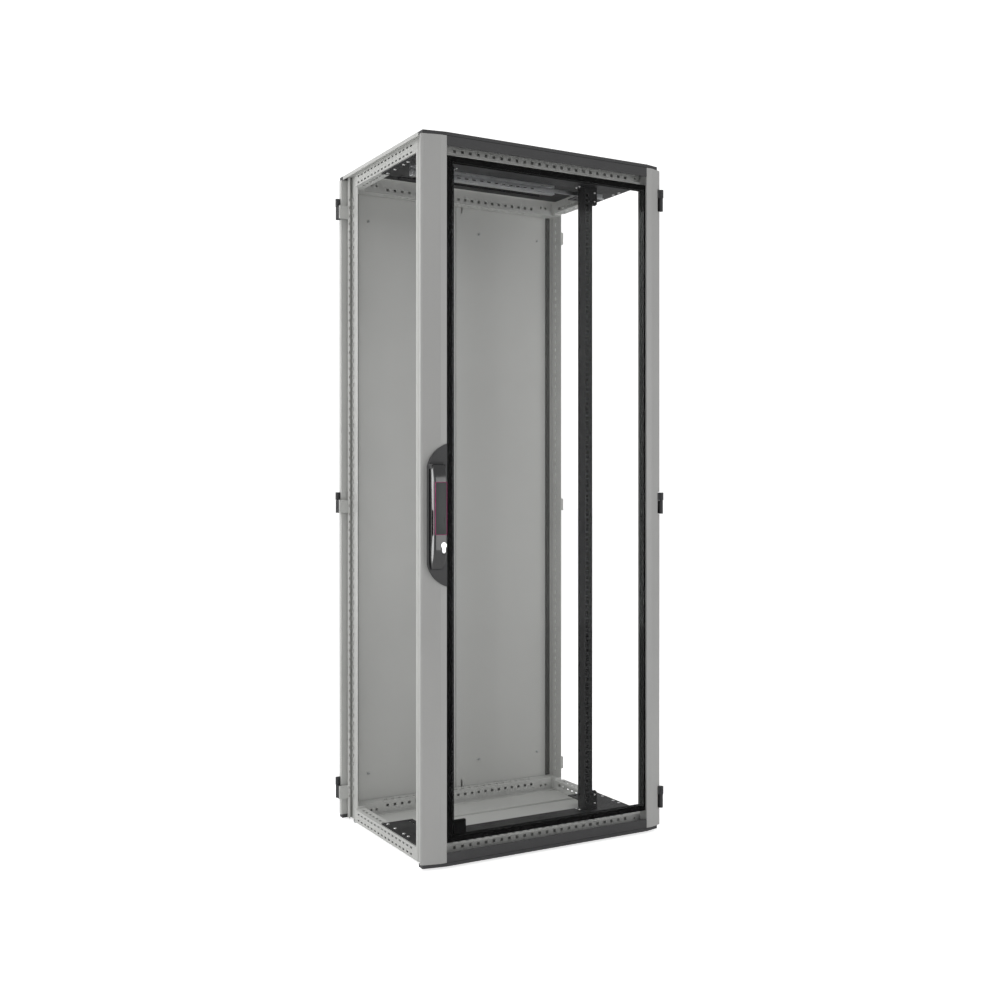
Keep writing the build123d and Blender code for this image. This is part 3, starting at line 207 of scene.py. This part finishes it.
def plated(name, colour, rough, brush=(1.0, 1.0, 1.0), brush_scale=120.0):
    """Bright plated metal with faint brushing and passivation clouds."""
    g = Graph(name)
    shader = g.add("ShaderNodeBsdfPrincipled")
    shader.inputs["Metallic"].default_value = 1.0
    clouds = g.noise(22.0, 4.0)
    base = g.mix(g.spread(clouds, 0.0, 1.0), rgba(colour, 0.9), rgba(colour, 1.08))
    g.link(base, shader.inputs["Base Color"])
    lines = g.noise(brush_scale, 4.0, stretch=brush)
    g.link(g.spread(lines, rough - 0.06, rough + 0.1), shader.inputs["Roughness"])
    bump = g.add("ShaderNodeBump")
    bump.inputs["Strength"].default_value = 0.12
    bump.inputs["Distance"].default_value = BRUSH_HEIGHT
    g.link(lines, bump.inputs["Height"])
    bevel = g.add("ShaderNodeBevel", samples=BEVEL_SAMPLES)
    bevel.inputs["Radius"].default_value = PLATE_CORNER
    g.link(bevel.outputs["Normal"], bump.inputs["Normal"])
    g.link(bump.outputs["Normal"], shader.inputs["Normal"])
    g.link(shader.outputs["BSDF"], g.output.inputs["Surface"])
    return g.material


def clear_pane(name):
    """Clear safety glass: invisible face on, mirror-like at a glancing angle, with faint smears."""
    g = Graph(name)
    shader = g.add("ShaderNodeBsdfPrincipled")
    shader.inputs["Metallic"].default_value = 1.0
    tint = g.mix(g.spread(g.noise(1.5), 0.0, 1.0), (0.86, 0.9, 0.89, 1.0), (0.92, 0.95, 0.94, 1.0))
    g.link(tint, shader.inputs["Base Color"])
    smear = g.noise(3.0, 5.0, stretch=(1.0, 1.0, 0.4))
    g.link(g.spread(smear, 0.02, 0.06), shader.inputs["Roughness"])
    bump = g.add("ShaderNodeBump")
    bump.inputs["Strength"].default_value = 0.01
    g.link(g.noise(5.0, 1.0), bump.inputs["Height"])
    g.link(bump.outputs["Normal"], shader.inputs["Normal"])
    fresnel = g.add("ShaderNodeFresnel")
    g.link(g.spread(fresnel.outputs["Fac"], 0.003, 0.3, 0.06, 1.0), shader.inputs["Alpha"])
    g.link(shader.outputs["BSDF"], g.output.inputs["Surface"])
    return g.material


LIGHT_GREY = (0.66, 0.665, 0.645)
MATERIALS = {
    "frame_grey": coated(
        "frame_grey", LIGHT_GREY, 0.42, 700.0, 0.25, wear=(0.9, 0.9, 0.88), wear_amount=0.6),
    "door_grey": coated("door_grey", (0.52, 0.52, 0.51), 0.36, 800.0, 0.18, wear=(0.75, 0.75, 0.73)),
    "dark_trim": coated("dark_trim", (0.062, 0.062, 0.064), 0.5, 1100.0, 0.35, wear=(0.2, 0.2, 0.2)),
    "rack_black": coated(
        "rack_black", (0.014, 0.014, 0.0155), 0.45, 650.0, 0.3, wear=(0.12, 0.12, 0.12), gloss=0.35),
    "zinc": plated("zinc", (0.56, 0.57, 0.58), 0.3, brush=(0.2, 4.0, 4.0)),
    "seal_black": coated("seal_black", (0.0025, 0.0025, 0.0025), 0.65, 500.0, 0.4, vary=0.15, gloss=0.12),
    "glass": clear_pane("glass"),
    "bristle": coated("bristle", (0.012, 0.012, 0.012), 0.75, 900.0, 0.8, vary=0.3),
    "lever_black": coated(
        "lever_black", (0.012, 0.012, 0.013), 0.14, 300.0, 0.05, wear=(0.08, 0.08, 0.08),
        coat=1.0, gloss=0.8),
    "insert_grey": coated("insert_grey", (0.055, 0.06, 0.06), 0.4, 900.0, 0.25, wear=(0.15, 0.15, 0.15)),
    "chrome": plated("chrome", (0.86, 0.86, 0.86), 0.14, brush_scale=200.0),
    "foam_grey": coated("foam_grey", (0.13, 0.13, 0.125), 0.8, 500.0, 0.8, vary=0.12),
    "hinge_grey": coated("hinge_grey", (0.05, 0.05, 0.053), 0.5, 400.0, 0.5, wear=(0.25, 0.25, 0.25)),
}
MAGENTA = coated("accent_magenta", (0.42, 0.015, 0.16), 0.35, 600.0, 0.1)


def dress_frame():
    """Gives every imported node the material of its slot."""
    for part in frame["record"]["subparts"]:
        mesh = NODES[part["node"]].data
        mesh.materials.clear()
        mesh.materials.append(MATERIALS[part["material_slot"]])


# ---------------------------------------------------------------- mesh helpers
SHARP_ANGLE = 35.0
WELD = 0.01 * MM


def piece_from(bm, name, material, body, replaced=(), sharp_angle=SHARP_ANGLE):
    """Makes a named object from a bmesh, rides it on its body and hides the CAD parts it stands for."""
    bmesh.ops.recalc_face_normals(bm, faces=bm.faces)
    mesh = bpy.data.meshes.new(name)
    bm.to_mesh(mesh)
    bm.free()
    piece = bpy.data.objects.new(name, mesh)
    bpy.context.scene.collection.objects.link(piece)
    mesh.materials.append(material)
    mesh.shade_smooth()
    mesh.set_sharp_from_angle(angle=math.radians(sharp_angle))
    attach(piece, body)
    if replaced:
        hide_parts(*replaced)
    return piece


def skin(bm, loops):
    """Faces between neighbouring closed loops of vertices, all of one length."""
    count = len(loops[0])
    for first, second in zip(loops, loops[1:]):
        for i in range(count):
            k = (i + 1) % count
            bm.faces.new((first[i], first[k], second[k], second[i]))


def loft(bm, rings):
    """Closed shape through rings of equal length, each a closed loop of points."""
    loops = [[bm.verts.new(p) for p in ring] for ring in rings]
    skin(bm, loops)
    bm.faces.new(loops[0][::-1])
    bm.faces.new(loops[-1])


def revolve(bm, profile, place, segments):
    """Turned shape: profile is (radius, height) pairs from the bottom centre to the top centre."""
    rings = []
    for radius, height in profile:
        rings.append([place @ Vector((radius * math.cos(a), radius * math.sin(a), height))
                      for a in (2 * math.pi * i / segments for i in range(segments))])
    loft(bm, rings)


def rounded_outline(width, height, radius, steps=6):
    """Rounded rectangle about the origin, counter-clockwise."""
    points = []
    for quarter, (sx, sy) in enumerate(((1, 1), (-1, 1), (-1, -1), (1, -1))):
        cx = sx * (width / 2 - radius)
        cy = sy * (height / 2 - radius)
        for i in range(steps + 1):
            a = math.pi / 2 * (quarter + i / steps)
            points.append((cx + radius * math.cos(a), cy + radius * math.sin(a)))
    return points


SOFT_EDGE = 0.4 * MM


def soft_plate(bm, centre, width, height, radius, y_back, y_front):
    """Rounded plate facing -Y with softened front edges."""
    cx, cz = centre
    near = 0.35 * SOFT_EDGE
    levels = ((0.0, y_back), (0.0, y_front + SOFT_EDGE), (near, y_front + near), (SOFT_EDGE, y_front))
    rings = []
    for inset, y in levels:
        outline = rounded_outline(width - 2 * inset, height - 2 * inset, radius)
        rings.append([(cx + x, y, cz + z) for x, z in outline])
    loft(bm, rings)


def frame_plate(bm, centre, width, height, radius, band, y_back, y_front):
    """Thin raised outline around a rounded rectangle."""
    cx, cz = centre
    outer = rounded_outline(width, height, radius)
    inner = rounded_outline(width - 2 * band, height - 2 * band, max(radius - band, 0.3 * MM))
    rings = []
    for outline, y in ((outer, y_back), (outer, y_front), (inner, y_front), (inner, y_back)):
        rings.append([(cx + x, y, cz + z) for x, z in outline])
    loops = [[bm.verts.new(p) for p in ring] for ring in rings]
    skin(bm, loops + loops[:1])


def islands(node):
    """Boxes (low, high) of the separate solids of a CAD node."""
    bm = bmesh.new()
    bm.from_mesh(NODES[node].data)
    bmesh.ops.remove_doubles(bm, verts=bm.verts, dist=WELD)
    todo = set(bm.verts)
    boxes = []
    while todo:
        stack = [todo.pop()]
        found = []
        while stack:
            vert = stack.pop()
            found.append(vert.co.copy())
            for edge in vert.link_edges:
                other = edge.other_vert(vert)
                if other in todo:
                    todo.remove(other)
                    stack.append(other)
        low = Vector([min(p[i] for p in found) for i in range(3)])
        high = Vector([max(p[i] for p in found) for i in range(3)])
        boxes.append((low, high))
    bm.free()
    return sorted(boxes, key=lambda b: tuple(round(v, 4) for v in b[0]))


def cut(piece, cutter_bm):
    """Removes a closed cutter shape from a piece for good."""
    bmesh.ops.recalc_face_normals(cutter_bm, faces=cutter_bm.faces)
    mesh = bpy.data.meshes.new("cutter")
    cutter_bm.to_mesh(mesh)
    cutter_bm.free()
    cutter = bpy.data.objects.new("cutter", mesh)
    bpy.context.scene.collection.objects.link(cutter)
    modifier = piece.modifiers.new("cut", "BOOLEAN")
    modifier.operation = "DIFFERENCE"
    modifier.solver = "EXACT"
    modifier.object = cutter
    depsgraph = bpy.context.evaluated_depsgraph_get()
    result = bpy.data.meshes.new_from_object(piece.evaluated_get(depsgraph))
    piece.modifiers.clear()
    old = piece.data
    piece.data = result
    bpy.data.meshes.remove(old)
    bpy.data.objects.remove(cutter)
    bpy.data.meshes.remove(mesh)
    result.set_sharp_from_angle(angle=math.radians(SHARP_ANGLE))


STADIUM_STEPS = 12


def stadium(bm, axis, centre, length, width, start, end):
    """Closed slot-shaped bar: axis is "x" or "y"; its long side is vertical."""
    half = (length - width) / 2
    outline = []
    for turn, sign in ((0.0, 1), (math.pi, -1)):
        for i in range(STADIUM_STEPS + 1):
            a = turn + math.pi * i / STADIUM_STEPS
            outline.append((width / 2 * math.cos(a), sign * half + width / 2 * math.sin(a)))
    rings = []
    for depth in (start, end):
        if axis == "x":
            rings.append([(depth, centre[0] + u, centre[1] + v) for u, v in outline])
        else:
            rings.append([(centre[0] + u, depth, centre[1] + v) for u, v in outline])
    loft(bm, rings)


# ---------------------------------------------------------------- front handle
LEVER_CORNER_STEPS = 6
GRIP_MID_Z = 940 * MM
GRIP_DEPTH_SHARE = 0.62
INSERT_BAND = 1.2 * MM


def lever_ring(x0, x1, y_back, lift, z, radius):
    """One cross-section of the lever at height z: square at the back, rounded towards the user."""
    y_front = y_back - lift
    radius = min(radius, 0.45 * lift)
    points = [(x0, y_back, z)]
    for i in range(LEVER_CORNER_STEPS + 1):
        a = math.pi / 2 * i / LEVER_CORNER_STEPS
        points.append((x0 + radius * (1 - math.cos(a)), y_front + radius * (1 - math.sin(a)), z))
    for i in range(LEVER_CORNER_STEPS + 1):
        a = math.pi / 2 * i / LEVER_CORNER_STEPS
        points.append((x1 - radius * (1 - math.sin(a)), y_front + radius * (1 - math.cos(a)), z))
    points.append((x1, y_back, z))
    return points


def add_front_handle():
    """Swivel lever with tapered ends, finger slot, key openings, face plate and coloured edge lines."""
    low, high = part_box("lever")
    x0, x1 = low[0], high[0]
    z0, z1 = low[2], high[2]
    y_back = high[1]
    lift = y_back - low[1]
    width = x1 - x0
    # Each station: height above the lower end, share of the lift, waist, edge radius in mm.
    stations = (
        (0.000, 0.20, 0.10, 2.0), (0.012, 0.52, 0.02, 3.0), (0.030, 0.82, 0.0, 4.0), (0.044, 0.97, 0.0, 4.5),
        (0.054, 1.0, 0.0, 4.5), (0.232, 1.0, 0.0, 4.5), (0.240, 0.985, 0.0, 4.5), (0.256, 0.86, 0.0, 4.5),
        (0.270, 0.73, 0.0, 4.5), (0.280, 0.60, 0.02, 4.0), (z1 - z0, 0.36, 0.06, 3.0),
    )
    bm = bmesh.new()
    rings = []
    for rise, share, waist, radius in stations:
        waist *= width
        rings.append(lever_ring(x0 + waist, x1 - waist, y_back, lift * share, z0 + rise, radius * MM))
    loft(bm, rings)
    lever = piece_from(bm, "lever_body", MATERIALS["lever_black"], "lever", ("lever",))
    cutter = bmesh.new()
    grip = (y_back - GRIP_DEPTH_SHARE * lift, GRIP_MID_Z)
    stadium(cutter, "x", grip, 70 * MM, 8 * MM, x0 - 5 * MM, x0 + 4.5 * MM)
    cut(lever, cutter)
    body_low, body_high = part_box("cylinder_body")
    key_x = (body_low[0] + body_high[0]) / 2
    key_r = (body_high[0] - body_low[0]) / 2
    key_z = body_high[2] - key_r
    tail_z = (body_low[2] + body_high[2]) / 2 - key_r / 2
    for centre_z, length, slot_w in ((key_z, 2.02 * key_r, 2 * key_r), (tail_z, 26 * MM, 10.4 * MM)):
        cutter = bmesh.new()
        stadium(cutter, "y", (key_x, centre_z), length, slot_w, y_back - lift - 5 * MM, y_back - 9 * MM)
        cut(lever, cutter)

    plate_low, plate_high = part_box("lever_insert")
    centre = ((plate_low[0] + plate_high[0]) / 2, (plate_low[2] + plate_high[2]) / 2)
    plate_w = plate_high[0] - plate_low[0]
    plate_h = plate_high[2] - plate_low[2]
    face = plate_high[1] + 0.3 * MM
    bm = bmesh.new()
    inner_w = plate_w - 2 * INSERT_BAND
    inner_h = plate_h - 2 * INSERT_BAND
    soft_plate(bm, centre, inner_w, inner_h, 1.6 * MM, face, plate_low[1] + 0.2 * MM)
    grey = MATERIALS["insert_grey"]
    plate = piece_from(bm, "lever_face_plate", grey, "lever", ("lever_insert",))
    cutter = bmesh.new()
    slit = (centre[0] + 0.22 * plate_w, centre[1] - 0.22 * plate_h)
    stadium(cutter, "y", slit, 20 * MM, 3 * MM, plate_low[1] - 3 * MM, plate_low[1] + 0.9 * MM)
    cut(plate, cutter)
    bm = bmesh.new()
    frame_plate(bm, centre, plate_w, plate_h, 2.4 * MM, INSERT_BAND, face, plate_low[1] + 0.1 * MM)
    piece_from(bm, "lever_edge_line", MAGENTA, "lever")
    bm = bmesh.new()
    strip_y = y_back - lift + 5.5 * MM
    outline = rounded_outline(1.0 * MM, plate_h, 0.4 * MM)
    sides = (x0 - 0.15 * MM, x0 + 0.6 * MM)
    loft(bm, [[(x, strip_y + u, centre[1] + v) for u, v in outline] for x in sides])
    piece_from(bm, "lever_side_line", MAGENTA, "lever")


# ---------------------------------------------------------------- rear handle
def add_rear_handle():
    """Plain rear lever with rounded edges."""
    low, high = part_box("rear_lever")
    lift = high[1] - low[1]
    bm = bmesh.new()
    length = high[2] - low[2]
    # Each station: height above the lower end, share of the lift, edge radius in mm.
    stations = ((0.0, 0.45, 2.0), (0.008, 0.8, 3.0), (0.022, 1.0, 3.5), (length - 0.02, 1.0, 3.5),
                (length - 0.006, 0.85, 3.0), (length, 0.6, 2.0))
    rings = []
    for rise, share, radius in stations:
        ring = lever_ring(low[0], high[0], 0.0, lift * share, low[2] + rise, radius * MM)
        rings.append([(x, low[1] - y, z) for x, y, z in ring])
    loft(bm, rings)
    black = MATERIALS["lever_black"]
    piece_from(bm, "rear_lever_body", black, "rear_lever", ("rear_lever",))


# ---------------------------------------------------------------- seals, bristles and fasteners
def add_door_seal():
    """Rubber seal ring with a flat glazing foot, a groove and a rounded lip towards the frame."""
    coords = [v.co for v in NODES["door_seal"].data.vertices]
    xs = sorted({round(c.x, 4) for c in coords})
    zs = sorted({round(c.z, 4) for c in coords})
    low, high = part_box("door_seal")
    y_glass, y_back = low[1], high[1]
    depth = y_back - y_glass
    profile = [(0.0, 0.0), (1.0, 0.0), (1.0, 0.22), (0.86, 0.27), (0.86, 0.42), (1.0, 0.5)]
    profile += [(0.5 + 0.5 * math.cos(a), 0.66 + 0.34 * math.sin(a))
                for a in (math.pi / 2 * i / 6 for i in range(7))]
    profile += [(0.0, 1.0)]
    bm = bmesh.new()
    loops = []
    for u, v in profile:
        left = xs[0] + u * (xs[1] - xs[0])
        right = xs[-1] - u * (xs[-1] - xs[-2])
        bottom = zs[0] + u * (zs[1] - zs[0])
        top = zs[-1] - u * (zs[-1] - zs[-2])
        y = y_glass + v * depth
        corners = ((left, y, bottom), (right, y, bottom), (right, y, top), (left, y, top))
        loops.append([bm.verts.new(c) for c in corners])
    skin(bm, loops + loops[:1])
    black = MATERIALS["seal_black"]
    piece_from(bm, "door_seal_rubber", black, "front_door", ("door_seal",))


BRISTLE_PITCH = 1.6 * MM
BRISTLE_THICK = 0.28 * MM
BRISTLE_LAYERS = (0.25, 0.55, 0.85)
FOOT_TRIANGLE = ((-1, -1), (1, -1), (0, 1))
TIP_TRIANGLE = ((-0.6, -0.6), (0.6, -0.6), (0, 0.6))


def bristle_end(bm, corners, x, y, z):
    """Triangle of vertices at one end of a bristle."""
    return [bm.verts.new((x + dx * BRISTLE_THICK, y, z + dz * BRISTLE_THICK)) for dx, dz in corners]


def add_bristles():
    """Two rows of brush bristles that meet in the middle of the cable entry."""
    random = Random(7)
    low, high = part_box("brush_bristles")
    middle = (low[1] + high[1]) / 2
    bm = bmesh.new()
    for edge in (low[1], high[1]):
        for layer in BRISTLE_LAYERS:
            z = low[2] + layer * (high[2] - low[2])
            for i in range(int((high[0] - low[0]) / BRISTLE_PITCH)):
                x = low[0] + (i + 0.5 + random.uniform(-0.3, 0.3)) * BRISTLE_PITCH
                tip_x = min(max(x + random.uniform(-1.5, 1.5) * MM, low[0]), high[0])
                tip_y = middle + random.uniform(-1.2, 1.2) * MM
                tip_z = min(max(z + random.uniform(-0.6, 0.6) * MM, low[2]), high[2])
                base = bristle_end(bm, FOOT_TRIANGLE, x, edge, z)
                tip = bristle_end(bm, TIP_TRIANGLE, tip_x, tip_y, tip_z)
                for a in range(3):
                    b = (a + 1) % 3
                    bm.faces.new((base[a], base[b], tip[b], tip[a]))
                bm.faces.new(base[::-1])
                bm.faces.new(tip)
    piece_from(bm, "brush_fibres", MATERIALS["bristle"], "frame", ("brush_bristles",))


def screw_profile(radius, height):
    """Domed head on a thin washer with a shallow drive recess."""
    dome = [(radius * 0.86 * math.cos(a), height * (0.3 + 0.7 * math.sin(a)))
            for a in (math.pi / 2 * i / 6 for i in range(6))]
    centre = 0.0005 * radius
    washer = [(centre, 0.0), (radius, 0.0), (radius, height * 0.22), (radius * 0.9, height * 0.3)]
    recess = [(radius * 0.3, height * 0.99), (radius * 0.24, height * 0.6), (centre, height * 0.55)]
    return washer + dome + recess


def towards_front(x, y, z):
    """Placement of a turned shape that stands on a wall and points to -Y."""
    return Matrix.Translation((x, y, z)) @ Matrix.Rotation(math.pi / 2, 4, "X")


SCREW_SIDES = 20
WASHER_SIDES = 32
HEX_SIDES = 6
STUD_SIDES = 16
STUD_TURNS = 7
CENTRE = 0.01 * MM
HEX_SHARP_ANGLE = 25.0


def add_screws():
    """Domed screws of the mounting frame."""
    bm = bmesh.new()
    middle = (CAD_BOX[0][2] + CAD_BOX[1][2]) / 2
    for low, high in islands("rack_screws"):
        size = high - low
        centre = (low + high) / 2
        if size.y < size.z:
            place = towards_front(centre.x, high.y, centre.z)
            height = size.y
        elif centre.z < middle:
            place = Matrix.Translation((centre.x, centre.y, low.z))
            height = size.z
        else:
            at = Matrix.Translation((centre.x, centre.y, high.z))
            place = at @ Matrix.Rotation(math.pi, 4, "X")
            height = size.z
        revolve(bm, screw_profile(size.x / 2, height), place, SCREW_SIDES)
    piece_from(bm, "rack_screw_heads", MATERIALS["chrome"], "frame", ("rack_screws",))


def add_roof_bolts():
    """Hexagon bolts with washer face, chamfered head and dished top."""
    bm = bmesh.new()
    for low, high in islands("roof_bolts"):
        centre = (low + high) / 2
        across = (high.x - low.x) / 2
        height = high.z - low.z
        place = Matrix.Translation((centre.x, centre.y, low.z))
        washer = [(CENTRE, 0.0), (across, 0.0), (across, 0.12 * height), (CENTRE, 0.13 * height)]
        revolve(bm, washer, place, WASHER_SIDES)
        head = [
            (CENTRE, 0.12 * height), (across * 0.96, 0.12 * height), (across * 0.97, 0.8 * height),
            (across * 0.82, 0.95 * height), (across * 0.5, 0.97 * height), (across * 0.4, 0.88 * height),
            (CENTRE, 0.87 * height),
        ]
        revolve(bm, head, place, HEX_SIDES)
    piece_from(bm, "roof_bolt_heads", MATERIALS["zinc"], "frame", ("roof_bolts",), HEX_SHARP_ANGLE)


def add_studs(side):
    """Threaded weld studs with a flange at the foot."""
    node = f"rear_studs_{side}"
    bm = bmesh.new()
    for low, high in islands(node):
        centre = (low + high) / 2
        radius = (high.x - low.x) / 2
        length = high.y - low.y
        place = towards_front(centre.x, high.y, centre.z)
        profile = [(CENTRE, 0.0), (radius, 0.0), (radius, 0.12 * length), (0.72 * radius, 0.16 * length)]
        for i in range(STUD_TURNS):
            rise = 0.18 + 0.76 * i / STUD_TURNS
            profile += [(0.62 * radius, rise * length), (0.72 * radius, (rise + 0.05) * length)]
        profile += [(0.55 * radius, length), (CENTRE, length)]
        revolve(bm, profile, place, STUD_SIDES)
    piece_from(bm, f"stud_threads_{side}", MATERIALS["zinc"], f"rear_leaf_{side}", (node,))


# ---------------------------------------------------------------- stage and light
FLOOR_SIZE = 40.0
FLOOR_GLOW = 0.75
KEY_POWER = 44.0
RIM_POWER = 26.0
TOP_POWER = 60.0
FRONT_POWER = 42.0
SKY_SEEN = 1.2
SKY_LIGHT = 0.39
MIDDLE = (0, 0, 1.0)
# Each light: name, place, aim, size, power in watts.
LIGHTS = (
    ("key_left", (-4.2, 0.6, 2.2), MIDDLE, (2.4, 3.4), KEY_POWER),
    ("rim_left", (-2.7, 3.6, 1.5), (-0.4, 0, 1.0), (1.2, 3.0), RIM_POWER),
    ("top", (-0.5, 0.2, 4.6), MIDDLE, (3.0, 3.0), TOP_POWER),
    ("fill_front", (2.6, -4.8, 1.5), MIDDLE, (3.0, 3.0), FRONT_POWER),
)


def add_stage():
    """Plain pale floor that fades into the bright surroundings and keeps a soft contact shadow."""
    mesh = bpy.data.meshes.new("floor")
    corners = [(FLOOR_SIZE * x, FLOOR_SIZE * y, 0) for x, y in ((-1, -1), (1, -1), (1, 1), (-1, 1))]
    mesh.from_pydata(corners, [], [(0, 1, 2, 3)])
    floor = bpy.data.objects.new("floor", mesh)
    bpy.context.scene.collection.objects.link(floor)
    g = Graph("floor_pale")
    shader = g.add("ShaderNodeBsdfPrincipled")
    g.link(g.mix(g.spread(g.noise(0.8, 3.0), 0, 1), rgba((0.9, 0.9, 0.9)), rgba((0.93, 0.93, 0.93))),
           shader.inputs["Base Color"])
    shader.inputs["Roughness"].default_value = 0.7
    shader.inputs["Specular IOR Level"].default_value = 0.1
    glow = g.add("ShaderNodeEmission")
    path = g.add("ShaderNodeLightPath")
    g.link(g.spread(path.outputs["Is Camera Ray"], 0.0, FLOOR_GLOW, 0.0, 1.0), glow.inputs["Strength"])
    both = g.add("ShaderNodeAddShader")
    g.link(shader.outputs["BSDF"], both.inputs[0])
    g.link(glow.outputs["Emission"], both.inputs[1])
    g.link(both.outputs["Shader"], g.output.inputs["Surface"])
    mesh.materials.append(g.material)


def area_light(name, at, aim, size, power):
    """Rectangular soft box at a place, aimed at a point."""
    data = bpy.data.lights.new(name, "AREA")
    data.shape = "RECTANGLE"
    data.size, data.size_y = size
    data.energy = power
    light = bpy.data.objects.new(name, data)
    light.visible_camera = False
    light.location = at
    light.rotation_euler = (Vector(aim) - Vector(at)).to_track_quat("-Z", "Y").to_euler()
    bpy.context.scene.collection.objects.link(light)


def add_light():
    """Soft studio light from the left, the back left, above and the front, with pale surroundings."""
    for light in LIGHTS:
        area_light(*light)
    world = bpy.data.worlds.new("studio")
    bpy.context.scene.world = world
    world.use_nodes = True
    tree = world.node_tree
    background = tree.nodes["Background"]
    background.inputs["Color"].default_value = (1, 1, 1, 1)
    path = tree.nodes.new("ShaderNodeLightPath")
    level = tree.nodes.new("ShaderNodeMapRange")
    level.inputs["To Min"].default_value = SKY_LIGHT
    level.inputs["To Max"].default_value = SKY_SEEN
    tree.links.new(path.outputs["Is Camera Ray"], level.inputs["Value"])
    tree.links.new(level.outputs["Result"], background.inputs["Strength"])
    bpy.context.scene.view_settings.view_transform = "Standard"


dress_frame()
add_front_handle()
add_rear_handle()
add_door_seal()
add_bristles()
add_screws()
add_roof_bolts()
add_studs("left")
add_studs("right")
add_stage()
add_light()
add_camera()
